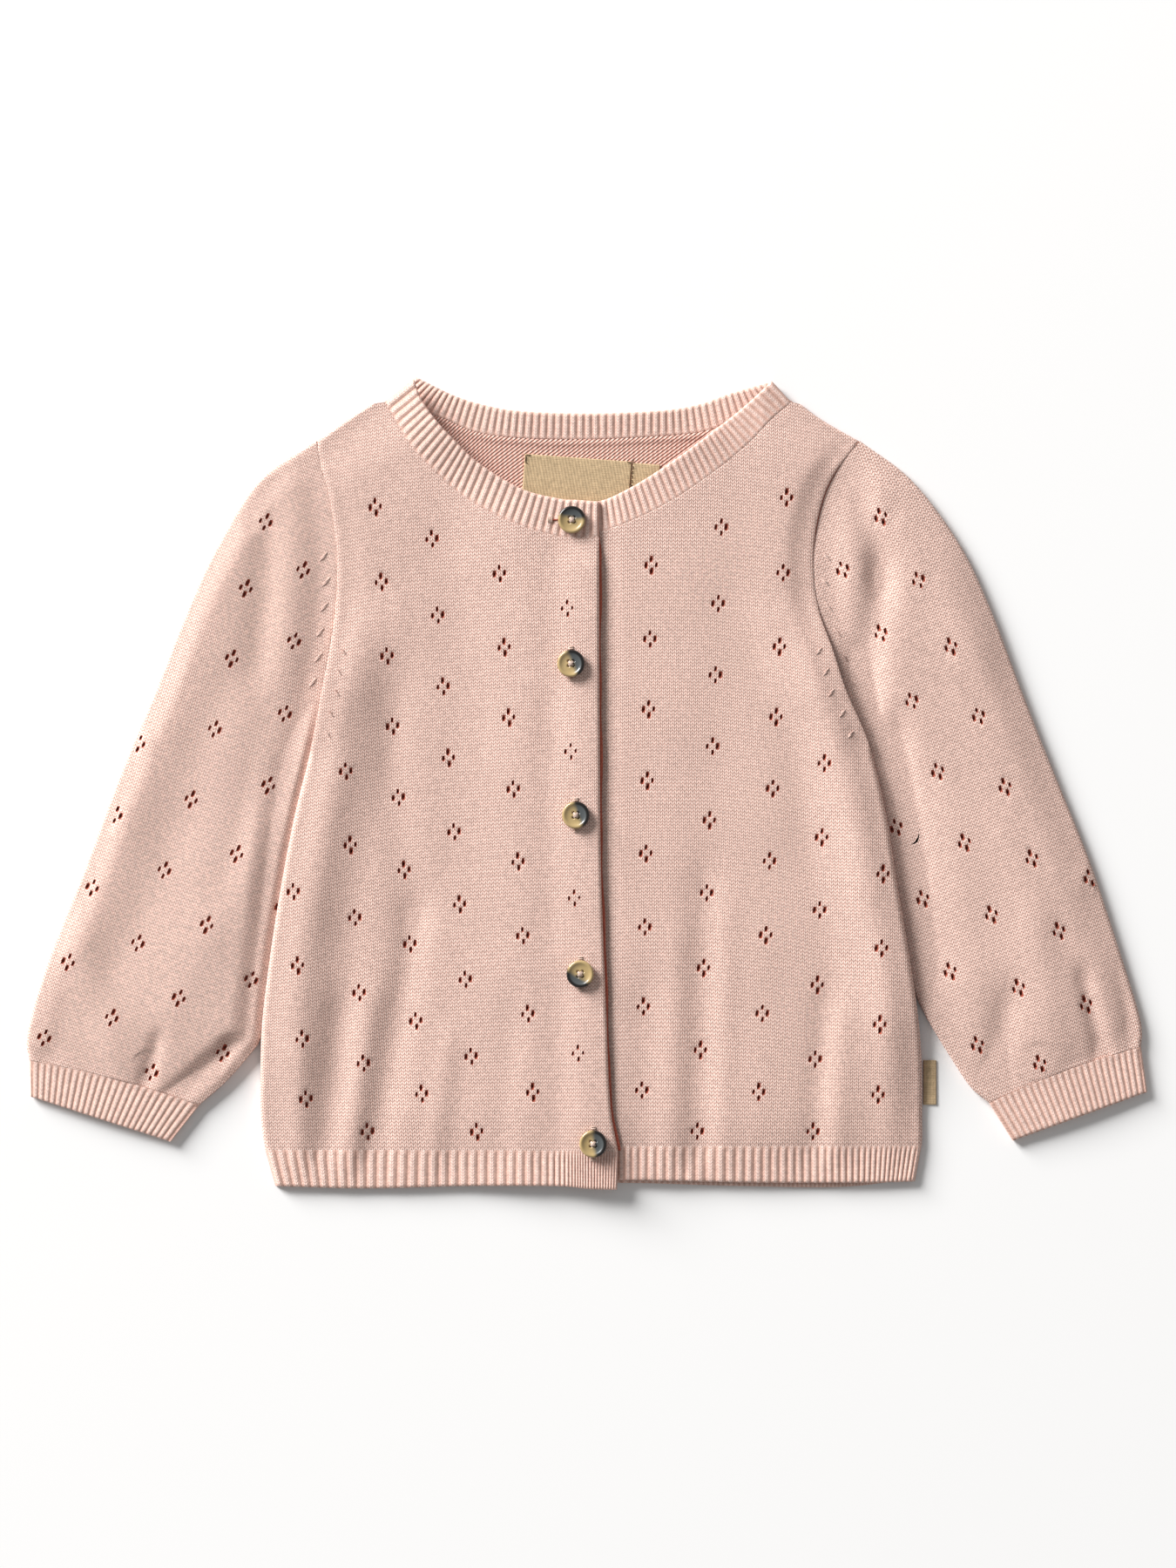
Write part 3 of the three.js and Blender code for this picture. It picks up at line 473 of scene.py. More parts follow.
def shell(name, first, second, fabric, materials, keep=None, ring=False, facing=None):
    """Closed cloth from two grids of places, one for each face, round in its columns for a ring.
    A cell that isn't kept is open. A wall joins the faces along each edge that has no neighbour. The
    last material is on the walls of openings, and on the border wall on the facing's side."""
    rows, columns = first.shape[:2]
    if keep is None:
        keep = np.ones((rows - 1, columns if ring else columns - 1), bool)
    layer, fabric_columns = rows * columns, fabric.shape[1]
    i, j = np.nonzero(keep)
    corners = [(i, j), (i, j + 1), (i + 1, j + 1), (i + 1, j)]
    at = np.stack([r * columns + c % columns for r, c in corners], 1)
    cloth = np.stack([r * fabric_columns + c for r, c in corners], 1)
    padded = np.pad(keep, 1)
    if ring:
        padded[:, 0], padded[:, -1] = padded[:, -2], padded[:, 1]
    quads, places = [at, layer + at[:, ::-1]], [cloth, cloth[:, ::-1]]
    finish = [np.zeros(len(at)), np.full(len(at), min(1, len(materials) - 1))]
    for k, (down, right) in enumerate(((-1, 0), (0, 1), (1, 0), (0, -1))):
        bare = ~padded[i + 1 + down, j + 1 + right]
        a, b = at[bare, k], at[bare, (k + 1) % 4]
        quads.append(np.stack([b, a, layer + a, layer + b], 1))
        p, q = cloth[bare, k], cloth[bare, (k + 1) % 4]
        places.append(np.stack([q, p, p, q], 1))
        hole = (i + down >= 0) & (i + down < rows - 1) & (j + right >= 0) & (j + right < keep.shape[1])
        finish.append(np.where(hole[bare] | (facing == (down, right)), len(materials) - 1, 0))
    both = np.concatenate([first.reshape(-1, 3), second.reshape(-1, 3)])
    uv = fabric.reshape(-1, 2)[np.concatenate(places)]
    return make_mesh(name, both, np.concatenate(quads), uv, materials, np.concatenate(finish))


def lay(piece, slot, *nodes):
    """Puts a finished piece in place of its CAD nodes."""
    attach(piece, "root")
    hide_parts(*nodes)
    return piece


def add(tree, kind, links=(), result=0, **settings):
    """Adds a node and gives one of its outputs. Links fill its inputs, in order or by key, with values
    or outputs, and settings are the node's own properties."""
    made = tree.nodes.new("ShaderNode" + kind)
    for name, value in settings.items():
        setattr(made, name, value)
    for key, value in links.items() if isinstance(links, dict) else enumerate(links):
        if isinstance(value, bpy.types.NodeSocket):
            tree.links.new(value, made.inputs[key])
        else:
            made.inputs[key].default_value = value
    return made.outputs[result] if made.outputs else made


def new_material(name):
    """An empty material and its node tree, under a real finish's name."""
    material = bpy.data.materials.new(name)
    material.use_nodes = True
    material.node_tree.nodes.clear()
    return material, material.node_tree


def finish_material(tree, colour, height, relief, shine):
    """Ends a material: its colour, its relief of that many millimetres, and the shader's own values."""
    bump = add(tree, "Bump", {"Height": height, "Distance": relief * MM, "Strength": 1.0})
    shader = add(tree, "BsdfPrincipled", {"Base Color": colour, "Normal": bump, **shine})
    add(tree, "OutputMaterial", {"Surface": shader})


COTTON_SHINE = {
    "Roughness": 0.92, "Sheen Weight": 0.12, "Sheen Roughness": 0.5, "Specular IOR Level": 0.2,
}


def yarn_melange(tree):
    """Light and dark flecks of the spun yarn, and broader clouds, lighter and darker, as one factor near 1.
    """
    place = add(tree, "TexCoord", result="Object")
    fleck = add(tree, "TexNoise", {"Vector": place, "Scale": 700.0, "Detail": 2.0})
    cloud = add(tree, "TexNoise", {"Vector": place, "Scale": 22.0, "Detail": 2.0})
    fine = add(tree, "Math", [fleck, 0.7, 0.65], operation="MULTIPLY_ADD")
    broad = add(tree, "Math", [cloud, 0.12, 0.94], operation="MULTIPLY_ADD")
    return add(tree, "Math", [fine, broad], operation="MULTIPLY")


def stitch_place(tree):
    """Wale and course counts from the UV map."""
    uv = add(tree, "UVMap", uv_map="fabric")
    return [add(tree, "SeparateXYZ", [uv], axis) for axis in (0, 1)]


def knit_height(tree, u, v):
    """Height of plain knitting: two slanted ropes a wale, cut by a groove between courses."""
    place = add(tree, "Math", [u], operation="FRACT")
    aside = add(tree, "Math", [place, 0.5], operation="SUBTRACT")
    off = add(tree, "Math", [aside], operation="ABSOLUTE")
    across = add(tree, "Math", [off, 3.85, -0.925], operation="MULTIPLY_ADD")
    square = add(tree, "Math", [across, across], operation="MULTIPLY")
    rope = add(tree, "Math", [square, -0.55, 1.0], operation="MULTIPLY_ADD")
    slant = add(tree, "Math", [off, -1.4, v], operation="MULTIPLY_ADD")
    stitch = add(tree, "Math", [slant], operation="FRACT")
    along = add(tree, "Math", [stitch, 2.0, -1.0], operation="MULTIPLY_ADD")
    square = add(tree, "Math", [along, along], operation="MULTIPLY")
    fourth = add(tree, "Math", [square, square], operation="MULTIPLY")
    groove = add(tree, "Math", [fourth, -0.9, 1.0], operation="MULTIPLY_ADD")
    return add(tree, "Math", [rope, groove], operation="MULTIPLY")


def purl_height(tree, u, v):
    """Height of the purl side: rows of short bars, one a wale, each slanting up to the right."""
    place = add(tree, "Math", [u], operation="FRACT")
    slant = add(tree, "Math", [place, -1.0, v], operation="MULTIPLY_ADD")
    stitch = add(tree, "Math", [slant], operation="FRACT")
    along = add(tree, "Math", [stitch, 2.0, -1.0], operation="MULTIPLY_ADD")
    square = add(tree, "Math", [along, along], operation="MULTIPLY")
    row = add(tree, "Math", [square, -1.0, 1.0], operation="MULTIPLY_ADD")
    bar = add(tree, "Math", [u, 0.5], operation="PINGPONG")
    bump = add(tree, "Math", [bar, 0.7, 0.65], operation="MULTIPLY_ADD")
    return add(tree, "Math", [row, bump], operation="MULTIPLY")


def twisted_height(tree, u, v, turns):
    """Height of twisted strands: that many a unit of each place, from 0 between them to 1."""
    twist = add(tree, "Math", [v, turns[1]], operation="MULTIPLY")
    twist = add(tree, "Math", [u, turns[0], twist], operation="MULTIPLY_ADD")
    strand = add(tree, "Math", [twist, 0.5], operation="PINGPONG")
    return add(tree, "Math", [strand, 2.0], operation="MULTIPLY")


def yarn_colour(tree, height, gap, yarn, light):
    """Colour by height: reddish brown painted shade in the gaps, pink on the yarn and a cream painted
    highlight on its crowns.
    """
    low = add(tree, "MapRange", [height, 0.05, 0.5], interpolation_type="SMOOTHSTEP")
    high = add(tree, "MapRange", [height, 0.55, 1.0], interpolation_type="SMOOTHSTEP")
    body = add(tree, "Mix", {0: low, 6: gap, 7: yarn}, 2, data_type="RGBA")
    crown = add(tree, "Mix", {0: high, 6: body, 7: light}, 2, data_type="RGBA")
    flecks = {0: 1.0, 6: crown, 7: yarn_melange(tree)}
    return add(tree, "Mix", flecks, 2, data_type="RGBA", blend_type="MULTIPLY")


def plain_knit(name):
    """Combed cotton jersey, knitted at about 7 wales a centimetre: matt, with small dark gaps of painted
    shade between its V stitches and a painted highlight on their crowns."""
    colours = bpy.context.scene.cardigan_colours
    material, tree = new_material(name)
    # Stitches are 1.5 by 1.3 mm and are drawn a tenth coarser, so that they show
    u, v = (add(tree, "Math", [count, 0.91], operation="MULTIPLY") for count in stitch_place(tree))
    height = knit_height(tree, u, v)
    colour = yarn_colour(tree, height, colours.gap, colours.yarn, colours.light)
    finish_material(tree, colour, height, 0.2, COTTON_SHINE)
    return material


def purl_side(name):
    """The wrong side of the same jersey: rows of small bumps, a little deeper in colour, with painted shade
    between them and a painted highlight on their crowns.
    """
    colours = bpy.context.scene.cardigan_colours
    material, tree = new_material(name)
    # Stitches are 1.5 by 1.3 mm and are drawn a sixth coarser, so that they show
    u, v = (add(tree, "Math", [count, 0.85], operation="MULTIPLY") for count in stitch_place(tree))
    height = purl_height(tree, u, v)
    colour = yarn_colour(tree, height, colours.inside_gap, colours.inside, colours.light)
    finish_material(tree, colour, height, 0.4, {**COTTON_SHINE, "Roughness": 0.95, "Sheen Weight": 0.1})
    return material


def painted_deep_shade_yarn(name):
    """Painted deep shade on yarn: the twisted yarn round an eyelet, seen down into the hole, the wall of a
    front's turned edge and a buttonhole's slit. A deep terracotta stands in for the pink yarn in its own
    shade there, with darker painted shade between its strands.
    """
    colours = bpy.context.scene.cardigan_colours
    material, tree = new_material(name)
    height = twisted_height(tree, *stitch_place(tree), (2.0, 3.0))
    colour = yarn_colour(tree, height, colours.eyelet_painted_shade_gap, colours.eyelet, colours.inside_gap)
    finish_material(tree, colour, height, 0.2, {"Roughness": 0.95, "Specular IOR Level": 0.1})
    return material


def rib_knit(name):
    """Ribbing in the same yarn: raised knit wales between sunken purl ones, which are in painted shade,
    with a painted highlight on the crowns.
    """
    colours = bpy.context.scene.cardigan_colours
    material, tree = new_material(name)
    u, v = stitch_place(tree)
    shifted = add(tree, "Math", [u, 0.5], operation="ADD")
    stitch = knit_height(tree, shifted, v)
    turn = add(tree, "Math", [u, 3.14159], operation="MULTIPLY")
    swing = add(tree, "Math", [turn], operation="COSINE")
    crest = add(tree, "Math", [swing, -0.5, 0.5], operation="MULTIPLY_ADD")
    crest = add(tree, "Math", [crest, 0.6], operation="POWER")
    shown = add(tree, "Math", [crest, 0.6, 0.4], operation="MULTIPLY_ADD")
    lifted = add(tree, "Math", [stitch, shown], operation="MULTIPLY")
    stitches = add(tree, "Math", [lifted, 0.65], operation="MULTIPLY")
    height = add(tree, "Math", [crest, 0.35, stitches], operation="MULTIPLY_ADD")
    colour = yarn_colour(tree, height, colours.rib_gap, colours.rib, colours.rib_light)
    finish_material(tree, colour, height, 0.22, COTTON_SHINE)
    return material


def woven_tape(name):
    """Woven label tape of undyed cotton: fine warp lines with a faint weft, matt, with painted shade
    between the threads and a painted highlight on them.
    """
    colours = bpy.context.scene.cardigan_colours
    material, tree = new_material(name)
    # Threads are 0.25 mm in the real tape and are drawn at 0.5 mm, so that they show
    warp, weft = (
        add(tree, "Math", [add(tree, "Math", [count, often], operation="MULTIPLY"), 0.5],
            operation="PINGPONG")
        for count, often in zip(stitch_place(tree), (2.0, 1.4))
    )
    faint = add(tree, "Math", [weft, 0.6], operation="MULTIPLY")
    height = add(tree, "Math", [warp, 1.4, faint], operation="MULTIPLY_ADD")
    colour = yarn_colour(tree, height, colours.tape_gap, colours.tape, colours.tape_light)
    finish_material(tree, colour, height, 0.15, {"Roughness": 0.85, "Sheen Weight": 0.1,
                                                 "Sheen Roughness": 0.5, "Specular IOR Level": 0.25})
    return material


def sewing_thread(name):
    """Sewing thread, smoother than the knit: pale pink on the buttons, brown on the labels, with painted
    shade between its twists and a painted highlight on them.
    """
    colours = bpy.context.scene.cardigan_colours
    material, tree = new_material(name)
    height = twisted_height(tree, *stitch_place(tree), (3.0, 1.0))
    if name == FINISHES["label_thread"][0]:
        shades = colours.dark_thread, colours.dark_thread, colours.tape_gap
    else:
        shades = colours.gap, colours.thread, colours.light
    colour = yarn_colour(tree, height, *shades)
    finish_material(tree, colour, height, 0.08, {"Roughness": 0.6, "Sheen Weight": 0.1,
                                                 "Specular IOR Level": 0.4})
    return material


def buffalo_horn(name):
    """Polished horn resin: honey tan, clouded, turning to slate with a near black rim on one side."""
    colours = bpy.context.scene.cardigan_colours
    material, tree = new_material(name)
    u, v = stitch_place(tree)
    place = add(tree, "TexCoord", result="Object")
    cloud = add(tree, "TexNoise", {"Vector": place, "Scale": 160.0, "Detail": 3.0, "Distortion": 0.6})
    towards = add(tree, "Math", [u, 0.17], operation="SUBTRACT")
    shaky = add(tree, "Math", [cloud, 0.35, towards], operation="MULTIPLY_ADD")
    dark = add(tree, "MapRange", [shaky, -0.28, 0.16], interpolation_type="SMOOTHSTEP")
    rim = add(tree, "MapRange", [v, 0.7, 0.82], interpolation_type="SMOOTHSTEP")
    honey = add(tree, "Mix", {0: cloud, 6: colours.horn_deep, 7: colours.horn}, 2, data_type="RGBA")
    slate = add(tree, "Mix", {0: rim, 6: colours.horn_slate, 7: colours.horn_black}, 2,
                data_type="RGBA")
    colour = add(tree, "Mix", {0: dark, 6: honey, 7: slate}, 2, data_type="RGBA")
    finish_material(tree, colour, cloud, 0.03, {"Roughness": 0.28, "IOR": 1.55, "Coat Weight": 0.3,
                                                "Coat Roughness": 0.12})
    return material


# Finishes: the real material's name and what makes it
FINISHES = {
    "knit": ("cotton_jersey_knit", plain_knit), "purl": ("cotton_jersey_purl", purl_side),
    # The eyelet finish is painted deep shade, also used on the fronts' facing walls and the buttonhole
    # slits.
    "eyelet": ("cotton_eyelet_rim", painted_deep_shade_yarn), "rib": ("cotton_rib_knit", rib_knit),
    "tape": ("woven_cotton_tape", woven_tape), "thread": ("polyester_sewing_thread", sewing_thread),
    "label_thread": ("brown_label_thread", sewing_thread), "horn": ("polished_horn_resin", buffalo_horn),
}


def finish_of(finish):
    """The material of that finish, made on first use."""
    name, maker = FINISHES[finish]
    return bpy.data.materials.get(name) or maker(name)


def knit_finishes():
    """Finishes of a knitted piece: its outer face, its inner face and the rims of its eyelets, which carry
    the painted deep shade.
    """
    return [finish_of("knit"), finish_of("purl"), finish_of("eyelet")]


EDGE_STOPS = np.array([0, 0.25, 0.7, 1.2, 1.6, 2.2, 3])
SEAM_INSET = 2.2


def front(name, rows, side, upper):
    """A front: straight sections from the side to the centre, on the form of its underside. Its
    side edge rolls down over the back's edge, and the centre edge is round."""
    sizes = bpy.context.scene.cardigan_sizes
    corners = list(rows["side"][rows["corner"] > 0])
    heights = spread([rows["side"][0], UNDERARM_Y, *corners, FRONT_TOP], sizes.course * 0.97)
    start = np.stack([edge_x(side, heights), heights], -1)
    end = np.stack([curve(rows, "side", "x", heights), curve(rows, "side", "y", heights)], -1)
    length = np.hypot(*(end - start).T)[:, None]
    stops = EDGE_STOPS[None] * np.minimum(1, length / (2.6 * EDGE_STOPS[-1])) / length
    middle = np.linspace(0, 1, sizes.front_columns)[None, 1:-1]
    centre = curve(rows, "side", "x", np.minimum(heights, corners[0]))[:, None]
    first_stop = stops[:, -1:] * length
    whole = np.abs(centre - start[:, :1]) - first_stop
    room = length - first_stop
    zone = np.minimum(16, room / 2)
    upright = mix(first_stop, whole, middle)
    packed = room - zone + (upright - room + zone) * zone / np.maximum(whole - room + zone, 1e-6)
    inner = np.where(upright < room - zone, upright, packed) / length
    s = np.concatenate([stops, inner, 1 - stops[:, ::-1]], 1)
    plan = start[:, None] + (end - start)[:, None] * s[..., None]
    from_side, from_end = s * length, (1 - s) * length
    from_hem = np.abs(plan[..., 1] - rows["side"][0])
    keep, tuck = pierce(plan, body_flowers(), np.minimum(np.minimum(from_side - 1, from_end), from_hem))
    x, y = plan[..., 0], plan[..., 1]
    under = front_under(x, y, upper)
    wrap = wrapped(heights)[:, None]
    seam = roll(from_hem, 0.6, 0.06)
    free = 1 - smooth(heights, 88, 96)[:, None]
    if upper:
        # The upper front's underside reaches out past its round centre edge so that the wall there faces
        # up; that wall carries the painted deep shade, a dark line along the edge.
        out = 0.9 + 0.35 * np.sin(y / 7.3) * np.sin(y / 17 + 1)
        tuck[..., 0] += out * free * (1 - smooth(from_end, 0, 1.2))
    else:
        # The lower front's side wall near the top of the armhole reaches out the same way and shows the
        # same painted deep shade as a dark line.
        at_collar = smooth(y, 88, 104) * (1 - smooth(y, 138, 142))
        tuck[..., 0] += 0.8 * at_collar * (1 - smooth(from_side, 0, 0.8))
    top = under + WALL - seam - roll(from_end, 1.6, mix(0.12, 1.0 if upper else 0.5, free))
    top = top - roll(from_side, mix(1.2, 2.4, wrap), 1) * mix(0.2, 2.1, wrap)
    top = top + 0.12 * (1 - wrap) * ridge(from_side, 2, 1.5)
    tucked = mix(under, back_under(x, y) + 0.15, wrap * (1 - smooth(from_side, 1.5, 2.2)))
    first = np.dstack([plan, np.maximum(top, tucked + 0.35)])
    second = np.dstack([plan + tuck, tucked])
    # The wall on the facing's side carries the painted deep shade.
    facing = (0, 1) if upper else (0, -1)
    return shell(name, first, second, body_fabric(x, y), knit_finishes(), keep, facing=facing)


def back_panel():
    """The back: level rows up to the yoke, then rows that bend into the shoulders and the neck
    curve. It lies flat, and its edges stand in from the fronts' edges that roll over them."""
    sizes = bpy.context.scene.cardigan_sizes
    level = spread([HEM_TOP["back"], UNDERARM_Y, 138], sizes.course * 1.03)
    rows = np.concatenate([level, np.full(14, 138)])
    bend = np.concatenate([np.zeros(len(level)), np.linspace(0, 1, 15)[1:]])[:, None]
    inset = SEAM_INSET * wrapped(rows) + 0.3
    left, right = edge_x("left", rows) + inset, edge_x("right", rows) - inset
    ends = BACK_NECK["x"][0], BACK_NECK["x"][-1]
    stops = EDGE_STOPS[None, :4]
    side = np.linspace(0, 1, 20)[None]
    x = np.concatenate([
        left[:, None] + stops[:, :-1],
        mix(left[:, None] + stops[:, -1:], ends[0], side),
        np.repeat(np.linspace(*ends, 116)[None, 1:-1], len(rows), 0),
        mix(ends[1], right[:, None] - stops[:, -1:], side),
        right[:, None] - stops[:, -2::-1],
    ], 1)
    slope = (BACK_NECK["y"][0] - SHOULDER["tip_y"]) / (SHOULDER["tip_x"] - ends[1])
    shoulder = SHOULDER["tip_y"] + slope * (SHOULDER["tip_x"] - np.abs(x))
    beyond = np.maximum(ends[0] - x, x - ends[1])
    line = np.where(beyond > 0, shoulder - SEAM_INSET * smooth(beyond, 0, 5), curve(BACK_NECK, "x", "y", x))
    y = mix(rows[:, None] * np.ones(x.shape[1]), np.maximum(line, 138.5), bend)
    plan = np.dstack([x, y])
    flowers = np.array([
        (23.4 * k, 30.4 * (n + (k % 2) / 2), 0.0, 1.0, 1.0) for k in range(-5, 6) for n in range(-5, 5)
    ])
    inside = inside_side(flowers[:, 0], flowers[:, 1]) > 7
    clear = np.minimum(x - left[:, None], right[:, None] - x) - 3
    keep, tuck = pierce(plan, flowers[inside & (flowers[:, 1] < 92) & (flowers[:, 1] > -142)], clear)
    x, y = plan[..., 0], plan[..., 1]
    under = back_under(x, y)
    edge = np.minimum(x - left[:, None], right[:, None] - x)
    to_band = np.maximum(line, 138.5) - y
    top = under + WALL - roll(edge, 1.4, 0.6) + 0.4 * ridge(to_band, 1.6, 1.3) * (beyond < 0)
    first = np.dstack([plan + tuck, top])
    second = np.dstack([x, y, under + roll(edge, 1.2, 0.4)])
    # The eyelets' walls carry the painted deep shade.
    finishes = [finish_of("purl"), finish_of("knit"), finish_of("eyelet")]
    return shell("back_panel_cloth", first, second, body_fabric(x, y), finishes, keep)


def rib_columns(ribs):
    """Steps along a ribbed piece and the height of its rounded crests there, from 0 to 1."""
    t = np.linspace(0, 1, ribs * RIB_STEPS + 1)
    return t, (0.5 - 0.5 * np.cos(2 * np.pi * ribs * t)) ** 0.35


def across_steps(length):
    """Steps across a ribbed piece: close at both edges, a stitch apart between."""
    ends = np.array([0, 0.3, 0.8, 1.4])
    middle = np.linspace(2.2, length - 2.2, 8)
    return np.concatenate([ends, middle, length - ends[::-1]]) / length


def hem(name, rows, top, side, upper, ribs, seam_ends):
    """A hem: ribs from the panel down to a round free edge. A seam end rolls down as the panel does."""
    course = bpy.context.scene.cardigan_sizes.course
    sections = numbered(rows)
    length = top - rows["bottom"].mean()
    t, crest = rib_columns(ribs)
    a = across_steps(length)[:, None]
    x = mix(curve(sections, "at", "top_x", t)[None], curve(sections, "at", "bottom_x", t)[None], a)
    y = mix(top - 0.03, curve(sections, "at", "bottom", t)[None], a)
    from_left, from_right = x - x[:, :1], x[:, -1:] - x
    free = (1 - a) * length
    if side == "back":
        x = np.clip(x, x[:, :1] + 0.0, x[:, -1:])
        squeeze = 1 - 2 * (SEAM_INSET + 0.3) / (x[:, -1:] - x[:, :1])
        middle = (x[:, -1:] + x[:, :1]) / 2
        x = middle + (x - middle) * squeeze
        under = 0 * x
        high = under + WALL - roll(free, 1.2, 0.5)
        low = under + roll(free, 1, 0.3)
    else:
        under = front_under(x, y, upper)
        grown = smooth(a * length, 0.2, 2.6) * smooth(free, -0.3, 1.2)
        high = under + mix(WALL, RIB_WALL + RIB_CREST * crest[None], grown) - roll(free, 1.3, 0.8)
        high = high - roll(a * length, 0.6, 0.05)
        low = under + 0.0
        for end, away in (("left", from_left), ("right", from_right)):
            if end in seam_ends:
                high = high - roll(away, 2.4, 2.1)
                low = mix(low, 0.15, 1 - smooth(away, 1.5, 2.2))
            else:
                high = high - roll(away, 1.2, 0.7)
        high = np.maximum(high, low + 0.35)
    fabric = np.dstack([np.broadcast_to(2 * ribs * t[None], x.shape), -a * length / course + 0 * x])
    return shell(name, np.dstack([x, y, high]), np.dstack([x, y, low]), fabric, [finish_of("rib")])


def seam_of(sections, rows):
    """A front band's seam points: the neck ends of the front's sections."""
    seam_x, seam_y = (curve(sections, "side", key, rows["side"]) for key in ("x", "y"))
    return {**rows, "seam_x": seam_x, "seam_y": seam_y}


def neckband(name, rows, ribs, height):
    """A neckband: evenly ribbed along its seam, from the neck seam to a round free edge."""
    course = bpy.context.scene.cardigan_sizes.course
    sections = numbered(rows)
    fine = np.linspace(0, 1, 300)
    step = np.hypot(*(np.diff(curve(sections, "at", key, fine)) for key in ("seam_x", "seam_y")))
    walked = np.concatenate([[0], np.cumsum(step)])
    t, crest = rib_columns(ribs)
    at = np.interp(t * walked[-1], walked, fine)
    seam = np.stack([curve(sections, "at", "seam_x", at), curve(sections, "at", "seam_y", at)], -1)
    edge = np.stack([curve(sections, "at", "edge_x", at), curve(sections, "at", "edge_y", at)], -1)
    length = np.hypot(*(edge - seam).T).mean()
    a = across_steps(length)
    clear = 0.05 / length
    plan = mix(seam[None], edge[None], mix(clear, 1, a)[:, None, None])
    x, y = plan[..., 0], plan[..., 1]
    a = a[:, None]
    under = height(x, y, a)
    free = (1 - a) * length
    along = t[None] * walked[-1]
    grown = smooth(a * length, 0.2, 2.2) * smooth(free, -0.3, 1.2)
    high = under + mix(WALL, RIB_WALL + RIB_CREST * crest[None], grown) - roll(free, 1.4, 0.9)
    high = high - roll(a * length, 0.7, 0.1)
    high = high - roll(along, 1.2, 0.6) - roll(walked[-1] - along, 1.2, 0.6)
    fabric = np.dstack([np.broadcast_to(2 * ribs * t[None], x.shape), a * length / course + 0 * x])
    return shell(name, np.dstack([plan, high]), np.dstack([plan, under]), fabric, [finish_of("rib")])


def sleeve_plan(side, rows, v, s):
    """Plan of a sleeve: straight sections from the underarm edge at s 0 to the outer edge at s 1,
    bent into the armhole curve at the top and bowed at the cuff."""
    ends = [curve(rows, "at", key, v) for key in ("inner_x", "inner_y", "outer_x", "outer_y")]
    sign = -1 if side == "left" else 1
    first = [rows[key][0] for key in ("inner_x", "inner_y", "outer_x", "outer_y")]
    y0 = mix(first[1], first[3], s)
    armhole = edge_x(side, np.minimum(y0, SHOULDER["tip_y"] - GAP)) + sign * 0.1
    x = mix(ends[0], ends[2], s) + (armhole - mix(first[0], first[2], s)) * (1 - smooth(v, 0, 0.4))
    y = mix(ends[1], ends[3], s) + smooth(v, 0.86, 1) * 1.8 * np.sin(np.pi * s)
    return np.stack([x, y], -1)


def sleeve_top(side, x, y, to_inner, to_outer, v):
    """Underside of a sleeve's upper layer: low by the body and the edges, round between them."""
    beyond = edge_x("left", y) - x if side == "left" else x - edge_x("right", y)
    inner = np.maximum(0, np.minimum(beyond, to_inner))
    round_in = mix(24, 14 if side == "left" else 55, smooth(v, 0.2, 0.5))
    start = 0.45 * smooth(inner, 0, 3.5) * (1 - smooth(y, 10, 40)) * (side == "left")
    round_out = 13 if side == "left" else 18
    form = np.maximum(smooth(inner / round_in, 0, 1), start) * smooth(to_outer, -3, round_out)
    cuff = mix(1, CUFF_AIR / SLEEVE_AIR, smooth(v, 0.62, 1) ** 1.5)
    fold = fold_depth(SLEEVE_FOLDS, x, y) * smooth(inner, 0, 6) * smooth(to_outer, 0, 6)
    fold = fold - handling(x, y) * smooth(inner, 0, 6) * smooth(to_outer, 0, 6)
    level = 0.8 if side == "left" else mix(0.95, 0.4, smooth(y, 92, 108))
    beside = level * (1 - smooth(inner, 0, 9)) * (1 - smooth(v, 0.3, 0.5))
    beside = beside * smooth(below_shoulder(x, y), 0, 30)
    return LAYER + np.maximum(0, SLEEVE_AIR * form * cuff + beside - fold)


EDGE_ANGLES = np.radians(np.linspace(-90, 90, 7))[1:-1]
TUBE_EDGE = LAYER - GAP / 2


